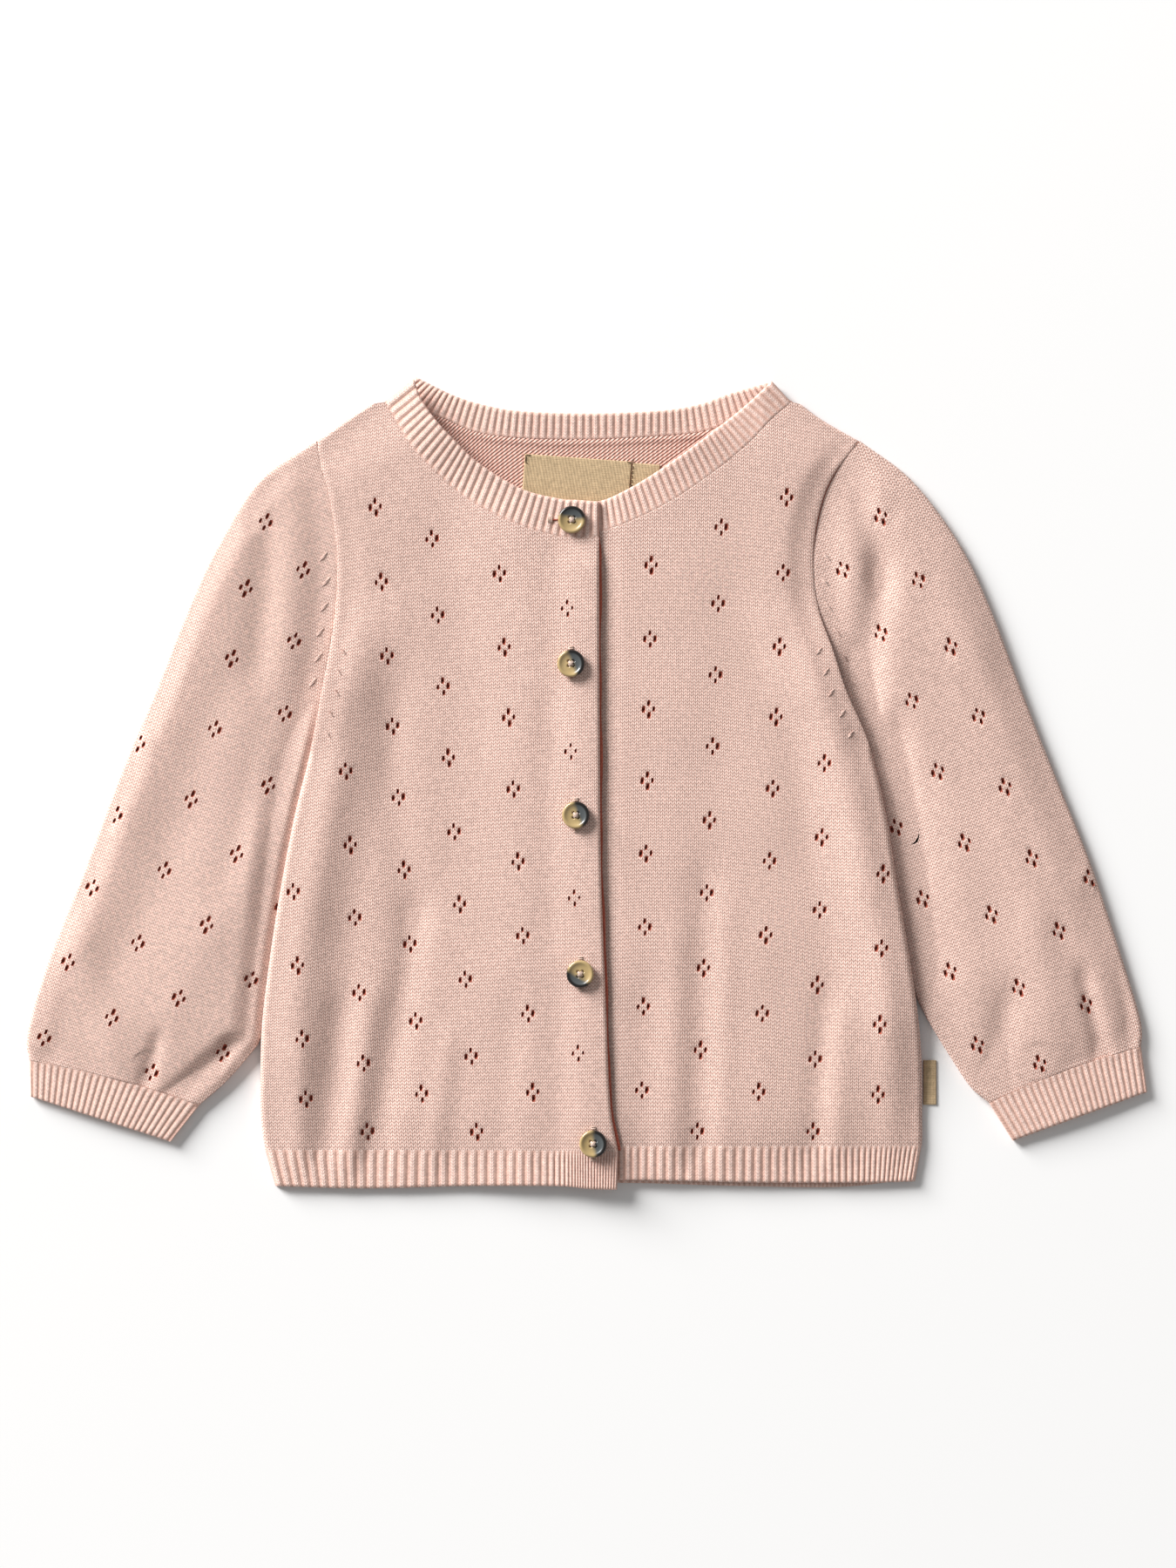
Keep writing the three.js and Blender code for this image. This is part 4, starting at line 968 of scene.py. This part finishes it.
def tube(name, plan_at, top_at, width, rows, steps, rise, fabric_at, materials, flowers=None, rim=None,
         from_end=None):
    """A flattened tube. Round each section it runs over the floor, up round the outer edge, back
    over the top and down round the inner edge; both edges are half circles."""
    flat = np.linspace(0, 1, steps + 1)[None]
    pull = TUBE_EDGE / width
    level = mix(pull, 1 - pull, flat)
    floor_plan, top_plan = plan_at(level), plan_at(level[:, ::-1])
    keep = np.ones((len(rows) - 1, 2 * (steps + 1) + 2 * len(EDGE_ANGLES)), bool)
    floor_tuck = top_tuck = 0
    if flowers is not None:
        clear = np.minimum(np.minimum(level, 1 - level) * width - 1.2, from_end - 0.3)
        keep[:, :steps], floor_tuck = pierce(floor_plan, flowers, clear)
        opened, top_tuck = pierce(top_plan, flowers, clear[:, ::-1])
        start = steps + 1 + len(EDGE_ANGLES)
        keep[:, start : start + steps] = opened
    high = top_at(top_plan, level[:, ::-1])
    lift = rise(level[:, ::-1])
    drop = 0 if rim is None else rim
    outer_edge, inner_edge = high[:, :1] + WALL, high[:, -1:] + WALL
    turn = EDGE_ANGLES[None]
    bulge, square = 1 - np.cos(turn), 1 - np.cos(turn) ** 0.4
    outer_s, inner_s = 1 - pull * bulge, pull * square[:, ::-1]
    inside_s = [1 - pull * (1 - (1 - bulge) * 0.1), pull * (1 - (1 - bulge[:, ::-1]) * 0.1)]
    up = (1 + np.sin(turn)) / 2
    small = WALL + (1 + np.sin(turn)) / 2 * GAP
    zero = 0 * floor_plan[..., 0]
    first = np.concatenate([
        np.dstack([floor_plan, zero]),
        np.dstack([plan_at(outer_s), up * outer_edge]),
        np.dstack([top_plan, high + WALL + lift - drop]),
        np.dstack([plan_at(inner_s), up[:, ::-1] * inner_edge]),
    ], 1)
    second = np.concatenate([
        np.dstack([floor_plan + floor_tuck, zero + WALL]),
        np.dstack([plan_at(inside_s[0]), small + 0 * outer_edge]),
        np.dstack([top_plan + top_tuck, high]),
        np.dstack([plan_at(inside_s[1]), small[:, ::-1] + 0 * inner_edge]),
    ], 1)
    around = np.concatenate([first, first[:, :1]], 1)
    return shell(name, first, second, fabric_at(around, steps), materials, keep, ring=True)


def sleeve_axes(side):
    """Unit directions across a sleeve's wales and along them to the cuff."""
    across = np.array(SLEEVE_ACROSS[side])
    along = np.array([across[1], -across[0]])
    return across, along if along[1] < 0 else -along


def sleeve_pull(side, across, along):
    """How far the wales are pulled to the body, growing from the outer edge inwards."""
    pull = np.interp(along, SLEEVE_PULL[side]["s"], SLEEVE_PULL[side]["pull"])
    share = (across + 182) / 49 if side == "left" else (200 - across) / 40
    return pull * np.clip(share, 0, 1.2)


def sleeve_flowers(side):
    """Centres of a sleeve's flowers, half-dropped columns along its wales, and their upward direction."""
    across, along = sleeve_axes(side)
    start, step, stretch = SLEEVE_ROWS[side]
    places = []
    for t, first, last in SLEEVE_COLUMNS[side]:
        for n in np.arange(first, last + 0.5):
            s = start + step * n + stretch * n * n
            x, y = across * (t + sleeve_pull(side, t, s)) + along * s
            places.append((x, y, -along[0], -along[1], 1))
    return np.array(places)


def sleeve(name, side, rows):
    """A sleeve: one flattened tube of knit from the armhole to the cuff."""
    sizes = bpy.context.scene.cardigan_sizes
    sections = numbered(rows)
    v = np.linspace(0, 1, sizes.sleeve_rows)[:, None]
    ends = sleeve_plan(side, sections, v, np.array([[0.0, 1.0]]))
    width = np.hypot(*(ends[:, 1] - ends[:, 0]).T)[:, None]
    across, along = sleeve_axes(side)

    def plan_at(s):
        return sleeve_plan(side, sections, v, s)

    def top_at(plan, s):
        x, y = plan[..., 0], plan[..., 1]
        return sleeve_top(side, x, y, s * width, (1 - s) * width, v)

    def fabric_at(around, steps):
        t = around[..., :2] @ across
        course = -(around[..., :2] @ along)
        t = t - sleeve_pull(side, t, -course)
        top_start = steps + 1 + len(EDGE_ANGLES)
        outer = t[:, top_start : top_start + 1]
        mirrored = 2 * outer - t
        wale = np.where(np.arange(t.shape[1])[None] < steps + 4, mirrored, t)
        return np.dstack([wale / sizes.wale, course / sizes.course])

    length = np.cumsum(np.concatenate([[0], np.hypot(*np.diff(ends.mean(1), axis=0).T)]))[:, None]
    from_end = np.minimum(length, length[-1] - length)
    rim = roll(from_end, 0.8, 0.08)
    flowers = sleeve_flowers(side)
    return tube(name, plan_at, top_at, width, v, sizes.sleeve_columns, lambda s: 0 * s, fabric_at,
                knit_finishes(), flowers, rim, from_end)


def cuff(name, side, rows, ribs):
    """A cuff: a ribbed tube from the sleeve's end to a round free edge, ribs on its upper side."""
    sections = numbered(rows)
    start = sleeve_plan(side, sections, np.array([[1.0]]), np.array([[0.0, 1.0]]))[0]
    width = float(np.hypot(*(start[1] - start[0])))
    inner, outer = (np.array(CUFF_END[side][key]) for key in ("inner", "outer"))
    depth = float(np.hypot(*(inner - start[0])))
    along = mix(0.15 / depth, 1, across_steps(depth))[:, None]
    free = (1 - along) * depth
    crest = rib_columns(ribs)[1][None]
    course = bpy.context.scene.cardigan_sizes.course

    def plan_at(s):
        s = np.broadcast_to(s, (len(along), s.shape[1]))
        begin = sleeve_plan(side, sections, np.ones((len(along), 1)), s)
        finish = inner + (outer - inner) * s[..., None]
        return mix(begin, finish, along[..., None])

    def top_at(plan, s):
        return LAYER + CUFF_AIR * np.sin(np.pi * s) + 0 * along

    def rise(s):
        grown = smooth(along * depth, 0.2, 2.6) * smooth(free, -0.3, 1.2)
        return grown * (RIB_WALL - WALL + CUFF_CREST * crest)

    def fabric_at(around, count):
        k = np.arange(around.shape[1])[None]
        up = (around[..., :2] - inner) @ ((start[0] - inner) / depth)
        return np.dstack([2 * k / RIB_STEPS + 0 * up, up / course])

    rim = roll(free, 1.3, 0.8) + roll(along * depth, 0.6, 0.1)
    widths = np.full((len(along), 1), width)
    steps = ribs * RIB_STEPS
    return tube(name, plan_at, top_at, widths, along, steps, rise, fabric_at, [finish_of("rib")], None, rim)


def button(name, x, y, tilt, dark_turn, dark_from, base):
    """A sew-through button: rings of a turned profile, sunk where the four holes are. Its fabric
    place holds how far towards the dark side a place lies, and its distance from the centre."""
    sizes = bpy.context.scene.cardigan_sizes
    half = sizes.button / 2
    profile = table("r z", [
        (0, 0), (0.76 * half, 0), (0.92 * half, 0.25), (0.985 * half, 0.6), (half, 0.95),
        (half - 0.1, 1.45), (half - 0.3, 1.8), (half - 0.65, 2), (half - 1.1, 1.95),
        (half - 1.6, 1.65), (half - 2.1, 1.45), (half - 2.7, 1.36),
        *((r, 1.3) for r in np.arange(2.6, 0.4, -0.3)), (0, 1.3),
    ])
    turn = np.linspace(0, 2 * np.pi, 73)[:-1][None]
    r, z = profile["r"][1:-1, None], profile["z"][1:-1, None]
    px, py = r * np.cos(turn), r * np.sin(turn)
    deep = 0
    for k in range(4):
        away = np.hypot(px - 1.35 * np.cos(k * np.pi / 2 + 0.8), py - 1.35 * np.sin(k * np.pi / 2 + 0.8))
        deep = deep + 0.9 * (1 - smooth(away, 0.4, 0.75))
    pz = z + 0 * px - deep * (r < half - 2.6)
    ring = np.dstack([px, py, pz])
    count, around = ring.shape[:2]
    poles = np.array([[0, 0, 0], [0, 0, 1.3]])
    angle = np.radians(tilt)
    places = np.concatenate([ring.reshape(-1, 3), poles])
    towards = np.radians(dark_turn)
    u = (places[:, 0] * np.cos(towards) + places[:, 1] * np.sin(towards)) / half - dark_from
    v = np.hypot(places[:, 0], places[:, 1]) / half
    foot = 0.76 * half * np.sin(angle)
    turned = np.stack([
        places[:, 0] * np.cos(angle) - places[:, 2] * np.sin(angle),
        places[:, 1],
        places[:, 0] * np.sin(angle) + places[:, 2] * np.cos(angle),
    ], -1) + np.array([x, y, base + foot + 0.1])
    i, j = np.meshgrid(np.arange(count - 1), np.arange(around), indexing="ij")
    k = (j + 1) % around
    side = np.stack([i * around + j, i * around + k, (i + 1) * around + k, (i + 1) * around + j], -1)
    j = np.arange(0, around, 2)
    last = (count - 1) * around
    low = np.stack([j * 0 + count * around, (j + 2) % around, j + 1, j], -1)
    high = np.stack([j * 0 + count * around + 1, last + j, last + j + 1, last + (j + 2) % around], -1)
    quads = np.concatenate([side.reshape(-1, 4), low, high])
    return make_mesh(name, turned, quads, np.stack([u, v], -1)[quads], [finish_of("horn")])


def thread_tubes(name, paths, radius, finish):
    """Thread: a round profile of six carried along each path of places, closed at both ends."""
    paths = np.asarray(paths, float)
    strands, points = paths.shape[:2]
    along = np.gradient(paths, axis=1)
    along /= np.linalg.norm(along, axis=2, keepdims=True)
    side = np.cross(along, np.array([0, 0, 1.0]))
    side /= np.maximum(np.linalg.norm(side, axis=2, keepdims=True), 1e-6)
    up = np.cross(side, along)
    turn = np.linspace(0, 2 * np.pi, 7)[:-1]
    taper = np.ones(points)
    taper[[0, -1]] = 0.35
    ring = np.cos(turn)[:, None] * side[:, :, None] + np.sin(turn)[:, None] * up[:, :, None]
    places = paths[:, :, None] + ring * radius * taper[:, None, None]
    at = np.arange(strands * points * 6).reshape(strands, points, 6)
    a, b = at[:, :-1], at[:, 1:]
    side_quads = np.stack([a, np.roll(a, -1, 2), np.roll(b, -1, 2), b], -1).reshape(-1, 4)
    first, last = at[:, 0], at[:, -1]
    caps = [first[:, [0, 3, 2, 1]], first[:, [0, 5, 4, 3]], last[:, [0, 1, 2, 3]], last[:, [0, 3, 4, 5]]]
    quads = np.concatenate([side_quads, *caps])
    flat = places.reshape(-1, 3)
    uv = np.stack([flat[:, 0] + flat[:, 1], flat[:, 2]], -1)
    return make_mesh(name, flat, quads, uv[quads], [finish_of(finish)])


def button_thread(name, x, y, tilt, base):
    """The thread that holds a button: strands bowed over the well from hole to hole, crossed."""
    sizes = bpy.context.scene.cardigan_sizes
    t = np.linspace(-1, 1, 9)
    ends = np.array([(a, o) for a in (0.8, 0.8 + np.pi / 2) for o in (-0.28, 0, 0.28)])
    turn, off = ends[:, :1], ends[:, 1:]
    px = 1.35 * t * np.cos(turn) - off * np.sin(turn)
    py = 1.35 * t * np.sin(turn) + off * np.cos(turn)
    pz = 0.8 + (0.95 + 0.25 * (turn > 1)) * (1 - t * t) ** 0.5 + 0 * px
    angle = np.radians(tilt)
    foot = 0.38 * sizes.button * np.sin(angle)
    paths = np.stack([px * np.cos(angle) - pz * np.sin(angle) + x, py + y,
                      px * np.sin(angle) + pz * np.cos(angle) + base + foot + 0.1], -1)
    return thread_tubes(name, paths, 0.24, "thread")


def buttonhole(name, x, y, turn, reach, level):
    """A worked buttonhole: a dark slit as long as twice its reach, drawn as a thin tube in the painted deep
    shade, and its three bar stitches at each end, which lie on the cloth's level."""
    t = np.linspace(-1, 1, 9)[None]
    along, across = np.array([np.cos(turn), np.sin(turn)]), np.array([-np.sin(turn), np.cos(turn)])
    at = np.array([side * (reach - step) for side in (-1, 1) for step in (0, 0.75, 1.5)])[:, None]
    bars = [x + at * along[0] + 1.1 * t * across[0], y + at * along[1] + 1.1 * t * across[1]]
    slit = [x + reach * t * along[0], y + reach * t * along[1]]
    pieces = []
    # The slit is a tube of painted deep shade laid where there is only a gap.
    for part, (px, py), radius, finish in (("slit", slit, 0.32, "eyelet"), ("bars", bars, 0.26, "thread")):
        pz = level(px, py) + (0.1 if part == "slit" else 0.1 + 0.25 * (1 - t * t))
        paths = np.stack([px + 0 * pz, py + 0 * pz, pz], -1)
        pieces.append(thread_tubes(f"{name}_{part}", paths, radius, finish))
    return pieces


def narrowings(name, side, low, high, outwards, level):
    """Stitches where the knitting was narrowed beside an armhole: pairs of short slanted strands that
    point outwards and down on the sleeve, and inwards and down on the body, half sunk in the cloth."""
    y = np.repeat(np.arange(low, high, 10.4 if outwards else 8.6), 2)
    out = (-1 if side == "left" else 1) * (1 if outwards else -1)
    reach, off = (4.4, 3) if outwards else (3, 4.2)
    pair = np.tile([0, 1.15], len(y) // 2)
    t = np.linspace(0, 1, 7)[None]
    px = (edge_x(side, y) + out * (off + 0.5 * np.sin(y) + 0.5 * pair))[:, None] + out * reach * 0.75 * t
    py = (y - pair)[:, None] - reach * 0.66 * t
    pz = level(px, py) - 0.2 + 0.3 * np.sin(np.pi * t)
    return thread_tubes(name, np.stack([px, py, pz], -1), 0.3, "knit")


def patch(name, spec, base, thick, sag):
    """A small flat woven piece, with soft edges and a slight wave."""
    turn = np.radians(spec["turn"])
    wide, high = spec["width"], spec["height"]
    edge = np.array([0, 0.15, 0.4])
    u, v = np.meshgrid(*(
        np.concatenate([edge, np.linspace(1, size - 1, max(6, int(size))), size - edge[::-1]]) - size / 2
        for size in (wide, high)
    ))
    x = spec["x"] + u * np.cos(turn) - v * np.sin(turn)
    y = spec["y"] + u * np.sin(turn) + v * np.cos(turn)
    border = np.minimum(wide / 2 - np.abs(u), high / 2 - np.abs(v))
    wave = sag * (np.sin(u / wide * 5 + 1) * np.cos(v / high * 2.4)) * smooth(border, 0, 3)
    low = base + wave + sag
    top = low + thick - roll(border, 0.4, thick * 0.45)
    fabric = np.dstack([u, v])
    return shell(name, np.dstack([x, y, top]), np.dstack([x, y, low]), fabric, [finish_of("tape")])


def label_stitches(name):
    """Stitches that hold the labels: a row up the line between them and a few at the corners."""
    spec = NECK_LABEL
    turn = np.radians(spec["turn"])
    right, left, top = spec["width"] / 2 + 0.35, -spec["width"] / 2 + 0.4, spec["height"] / 2 - 0.4
    rows = np.arange(-top + 0.5, top - 1, 1.9)
    starts = [(right, v, right + 0.2, v + 1.4) for v in rows]
    starts += [
        (left, top, left, top - 3), (left, top, left + 2.2, top), (right - 2.4, top, right - 0.4, top),
        (right - 0.3, top - 0.2, right + 0.6, top + 1.2), (left - 0.2, top - 3, left + 1.1, top - 3.6),
    ]
    a, b, c, d = np.array(starts).T[:, :, None]
    t = np.linspace(0, 1, 7)
    u, v = mix(a, c, t), mix(b, d, t)
    x = spec["x"] + u * np.cos(turn) - v * np.sin(turn)
    y = spec["y"] + u * np.sin(turn) + v * np.cos(turn)
    z = LAYER + 0.62 + 0.28 * np.sin(np.pi * t) + 0 * x
    return thread_tubes(name, np.stack([x, y, z], -1), 0.2, "label_thread")


class CardiganSizes(bpy.types.PropertyGroup):
    """Sizes of the knitting and its trims, in millimetres."""

    wale: bpy.props.FloatProperty(name="Wale", description="Stitch width, mm", default=1.476, min=0.5)
    course: bpy.props.FloatProperty(name="Course", description="Stitch height, mm", default=1.26, min=0.5)
    eyelet_width: bpy.props.FloatProperty(name="Eyelet width", description="Across a hole, mm",
                                          default=1.5, min=0.5)
    eyelet_length: bpy.props.FloatProperty(name="Eyelet length", description="Along a hole, mm",
                                           default=3.8, min=0.5)
    front_columns: bpy.props.IntProperty(name="Front columns", description="Places across a front",
                                         default=90, min=10)
    sleeve_rows: bpy.props.IntProperty(name="Sleeve rows", description="Places along a sleeve",
                                       default=180, min=10)
    sleeve_columns: bpy.props.IntProperty(name="Sleeve columns", description="Places across a sleeve",
                                          default=68, min=10)
    button: bpy.props.FloatProperty(name="Button", description="Diameter, mm", default=11.4, min=5)


def colour_property(name, description, code):
    """A colour that shows as a swatch, given by its sRGB hex value."""
    return bpy.props.FloatVectorProperty(name=name, description=description, subtype="COLOR", size=4,
                                         min=0, max=1, default=linear(code))


class CardiganColours(bpy.types.PropertyGroup):
    """Colours of yarn, tape and horn."""

    yarn: colour_property("Yarn", "Pink cotton yarn", "D5AEA0")
    light: colour_property("Yarn crown", "Yarn where it catches the light", "EED3C7")
    gap: colour_property("Stitch gap", "Shade between stitches", "9A6656")
    inside: colour_property("Inside", "Yarn on the purl side", "D2A192")
    inside_gap: colour_property("Inside gap", "Shade between purl rows", "AC7564")
    # Painted shade: a deep terracotta for the pink yarn in its own shade down in an eyelet, on a front's
    # turned edge and in a buttonhole's slit, with a darker painted shade between its strands.
    eyelet: colour_property("Eyelet", "Yarn down inside an eyelet", "C4624E")
    eyelet_painted_shade_gap: colour_property("Eyelet shade", "Shade between its strands", "93402F")
    rib: colour_property("Rib", "Yarn in the ribs", "DFB8A9")
    rib_light: colour_property("Rib crown", "Rib yarn where it catches the light", "F4D9CE")
    rib_gap: colour_property("Rib gap", "Shade between ribs", "C09686")
    tape: colour_property("Tape", "Label tape", "C8AE8A")
    tape_gap: colour_property("Tape gap", "Shade between tape threads", "A88C66")
    tape_light: colour_property("Tape light", "Tape thread in the light", "DCC39D")
    thread: colour_property("Thread", "Sewing thread", "F1DDCB")
    dark_thread: colour_property("Label thread", "Brown thread on the labels", "5E4730")
    horn: colour_property("Horn", "Honey part of a button", "BFA679")
    horn_deep: colour_property("Horn grain", "Deeper grain in the honey part", "9C8454")
    horn_slate: colour_property("Horn slate", "Slate part of a button", "4B4F50")
    horn_black: colour_property("Horn rim", "Rim in the slate part", "120E0C")


class StageSettings(bpy.types.PropertyGroup):
    """Floor, light and camera."""

    floor: colour_property("Floor", "Pale floor", "F3F2F1")
    key: bpy.props.FloatProperty(name="Key light", description="Power of the soft light at the upper left",
                                 default=3250, min=0, subtype="POWER", unit="POWER")
    sky: bpy.props.FloatProperty(name="Sky", description="Strength of the even light", default=0.3, min=0)
    lens: bpy.props.FloatProperty(name="Lens", description="Focal length", default=100, min=20,
                                  subtype="DISTANCE_CAMERA")
    view_height: bpy.props.FloatProperty(name="View", description="Height of the cloth seen",
                                         default=0.648, min=0.1, unit="LENGTH")


class CARDIGAN_OT_back(bpy.types.Operator):
    """Makes the back panel, purl side up"""

    bl_idname = "cardigan.back"
    bl_label = "Back panel"

    def execute(self, context):
        piece = lay(back_panel(), "cotton_knit", "back_panel")
        return {"FINISHED"}


class CARDIGAN_OT_fronts(bpy.types.Operator):
    """Makes both fronts with their pointelle eyelets"""

    bl_idname = "cardigan.fronts"
    bl_label = "Fronts"

    def execute(self, context):
        for name, rows, side, upper in (
            ("left_front", LEFT_FRONT, "right", False), ("right_front", RIGHT_FRONT, "left", True),
        ):
            piece = lay(front(name + "_cloth", rows, side, upper), "cotton_knit", name)
            marks = narrowings(name + "_narrowing", side, 22, 60, False,
                               lambda x, y, upper=upper: front_under(x, y, upper) + WALL)
            lay(marks, "cotton_knit", name)
        return {"FINISHED"}


class CARDIGAN_OT_sleeves(bpy.types.Operator):
    """Makes both sleeves as flattened tubes"""

    bl_idname = "cardigan.sleeves"
    bl_label = "Sleeves"

    def execute(self, context):
        for side, rows in (("left", LEFT_SLEEVE), ("right", RIGHT_SLEEVE)):
            piece = lay(sleeve(side + "_sleeve_cloth", side, rows), "cotton_knit", side + "_sleeve")
            marks = narrowings(side + "_sleeve_narrowing", side, 44, 106, True,
                               lambda x, y, side=side: WALL + sleeve_top(
                                   side, x, y, y - UNDERARM_Y, SHOULDER["tip_y"] - y, 0.05))
            lay(marks, "cotton_knit", side + "_sleeve")
        return {"FINISHED"}


class CARDIGAN_OT_ribs(bpy.types.Operator):
    """Makes the ribbed hems, cuffs and neckband"""

    bl_idname = "cardigan.ribs"
    bl_label = "Ribbed edges"

    def execute(self, context):
        hems = (
            ("back_hem", BACK_HEM, "back", False, 93, (), (0.268, 0.016), ["floor"]),
            ("left_hem", LEFT_HEM, "left", False, 51, ("right",), (0.149, 0.016), ["back_hem"]),
            ("right_hem", RIGHT_HEM, "right", True, 50, ("left",), (0.146, 0.016),
             ["left_hem", "back_hem"]),
        )
        for name, rows, side, upper, ribs, ends, flat, rests in hems:
            made = hem(name + "_rib", rows, HEM_TOP[side], side, upper, ribs, ends)
            lay(made, "cotton_rib", name)
            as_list(rests)
        for side, rows in (("left", LEFT_SLEEVE), ("right", RIGHT_SLEEVE)):
            made = cuff(side + "_cuff_rib", side, rows, 24 if side == "left" else 23)
            piece = lay(made, "cotton_rib", side + "_cuff")

        def over(upper):
            flare = UPPER_FLARE if upper else LOWER_FLARE
            return lambda x, y, a: front_under(x, y, upper) + mix(0.15, flare, a) * smooth(y, 118, 150)

        def behind(x, y, a):
            return a * 0.8 * (1 - smooth(np.abs(x), 25, 48))

        bands = (
            ("back_neckband", BACK_NECKBAND, 55, behind, (0.182, 0.0125), ["floor"]),
            ("left_neckband", seam_of(LEFT_FRONT, LEFT_NECKBAND), 39, over(False), (0.128, 0.014),
             ["back_panel", "back_neckband"]),
            ("right_neckband", seam_of(RIGHT_FRONT, RIGHT_NECKBAND), 33, over(True), (0.11, 0.014),
             ["back_panel", "left_neckband"]),
        )
        for name, rows, ribs, height, flat, rests in bands:
            piece = lay(neckband(name + "_rib", rows, ribs, height), "cotton_rib", name)
            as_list(rests)
        return {"FINISHED"}


class CARDIGAN_OT_labels(bpy.types.Operator):
    """Makes the bare labels inside the neck and the bare tag in the side seam"""

    bl_idname = "cardigan.labels"
    bl_label = "Labels and side tag"

    def execute(self, context):
        for name, spec, base in (
            ("neck_label", NECK_LABEL, LAYER), ("size_label", SIZE_LABEL, LAYER), ("side_tag", SIDE_TAG, 0),
        ):
            piece = lay(patch(name + "_tape", spec, base, 0.55, 0.1), "woven_label", name)
        lay(label_stitches("label_stitches"), "woven_label", "neck_label")
        return {"FINISHED"}


class CARDIGAN_OT_buttons(bpy.types.Operator):
    """Makes the five buttons with their sewing thread"""

    bl_idname = "cardigan.buttons"
    bl_label = "Buttons"

    def execute(self, context):
        keys = ("x", "y", "tilt", "dark_turn", "dark_from")
        for k, (x, y, tilt, dark_turn, dark_from) in enumerate(zip(*(BUTTONS[key] for key in keys))):
            around = np.linspace(0, 2 * np.pi, 9)
            half = context.scene.cardigan_sizes.button / 2
            ground = front_under(x + half * np.cos(around), y + half * np.sin(around), True).max()
            ground += RIB_WALL + RIB_CREST if k in (0, 4) else WALL
            made = button(f"button_{k + 1}_horn", x, y, tilt, dark_turn, dark_from, ground)
            lay(made, "horn_button", f"button_{k + 1}")
            thread = button_thread(f"button_{k + 1}_thread", x, y, tilt, ground)
            lay(thread, "horn_button", f"button_{k + 1}")
            node = ("right_neckband", "right_front", "right_front", "right_front", "right_hem")[k]
            slot = "cotton_knit" if node == "right_front" else "cotton_rib"
            thick = WALL if node == "right_front" else RIB_WALL + RIB_CREST
            turn, reach, off = (0, 5.4, -4.4) if k == 0 else (np.pi / 2, 6.9, 0)
            for piece in buttonhole(f"buttonhole_{k + 1}", x + off, y, turn, reach,
                                    lambda px, py, thick=thick: front_under(px, py, True) + thick):
                lay(piece, slot, node)
        return {"FINISHED"}


class CARDIGAN_OT_stage(bpy.types.Operator):
    """Makes the pale floor, the soft light and the camera straight above"""

    bl_idname = "cardigan.stage"
    bl_label = "Floor, light and camera"

    def execute(self, context):
        settings = context.scene.cardigan_stage
        mesh = bpy.data.meshes.new("pale_floor")
        mesh.from_pydata([(-3, -3, -0.0002), (3, -3, -0.0002), (3, 3, -0.0002), (-3, 3, -0.0002)], [],
                         [(0, 1, 2, 3)])
        floor = bpy.data.objects.new("pale_floor", mesh)
        context.scene.collection.objects.link(floor)
        material, tree = new_material("matt_white_card")
        shader = add(tree, "BsdfPrincipled", {"Base Color": settings.floor, "Roughness": 0.9})
        add(tree, "OutputMaterial", {"Surface": shader})
        mesh.materials.append(material)
        world = bpy.data.worlds.new("soft_room")
        world.use_nodes = True
        world.node_tree.nodes["Background"].inputs["Color"].default_value = (1, 1, 1, 1)
        world.node_tree.nodes["Background"].inputs["Strength"].default_value = settings.sky
        context.scene.world = world
        light = bpy.data.lights.new("soft_key", "AREA")
        light.energy, light.shape, light.size = settings.key, "SQUARE", 5.5
        key = bpy.data.objects.new("soft_key", light)
        key.location = (-8.2, 7.3, 4.35)
        context.scene.collection.objects.link(key)
        aim = -key.location
        key.rotation_euler = aim.to_track_quat("-Z", "Y").to_euler()
        data = bpy.data.cameras.new("above")
        data.lens, data.sensor_width, data.sensor_fit = settings.lens, 36, "AUTO"
        data.clip_start, data.clip_end = 0.05, 20
        camera = bpy.data.objects.new("above", data)
        distance = settings.view_height / data.sensor_width * settings.lens
        camera.location = ((SHIFT[0] - 0.36) * MM, SHIFT[1] * MM, distance + 0.004)
        context.scene.collection.objects.link(camera)
        context.scene.camera = camera
        context.scene.view_settings.view_transform = "Standard"
        return {"FINISHED"}


class CARDIGAN_PT_panel(bpy.types.Panel):
    """Lists the cardigan's pieces in the sidebar"""

    bl_idname = "CARDIGAN_PT_panel"
    bl_label = "Cardigan"
    bl_space_type = "VIEW_3D"
    bl_region_type = "UI"
    bl_category = "Cardigan"

    def draw(self, context):
        for group in ("cardigan_sizes", "cardigan_colours", "cardigan_stage"):
            box = self.layout.box()
            settings = getattr(context.scene, group)
            for name in settings.__annotations__:
                box.prop(settings, name)
        for operator in OPERATORS:
            self.layout.operator(operator.bl_idname)


GROUPS = {"cardigan_sizes": CardiganSizes, "cardigan_colours": CardiganColours,
          "cardigan_stage": StageSettings}
OPERATORS = (CARDIGAN_OT_back, CARDIGAN_OT_fronts, CARDIGAN_OT_sleeves, CARDIGAN_OT_ribs,
             CARDIGAN_OT_labels, CARDIGAN_OT_buttons, CARDIGAN_OT_stage)


def register():
    """Registers the settings, operators and panel."""
    for name, group in GROUPS.items():
        bpy.utils.register_class(group)
        setattr(bpy.types.Scene, name, bpy.props.PointerProperty(type=group))
    for kind in (*OPERATORS, CARDIGAN_PT_panel):
        bpy.utils.register_class(kind)


def unregister():
    """Removes them again."""
    for kind in (CARDIGAN_PT_panel, *reversed(OPERATORS)):
        bpy.utils.unregister_class(kind)
    for name, group in GROUPS.items():
        delattr(bpy.types.Scene, name)
        bpy.utils.unregister_class(group)


def main():
    """Builds the whole scene."""
    register()
    for operator in OPERATORS:
        group, name = operator.bl_idname.split(".")
        getattr(getattr(bpy.ops, group), name)()


if __name__ == "__main__":
    main()
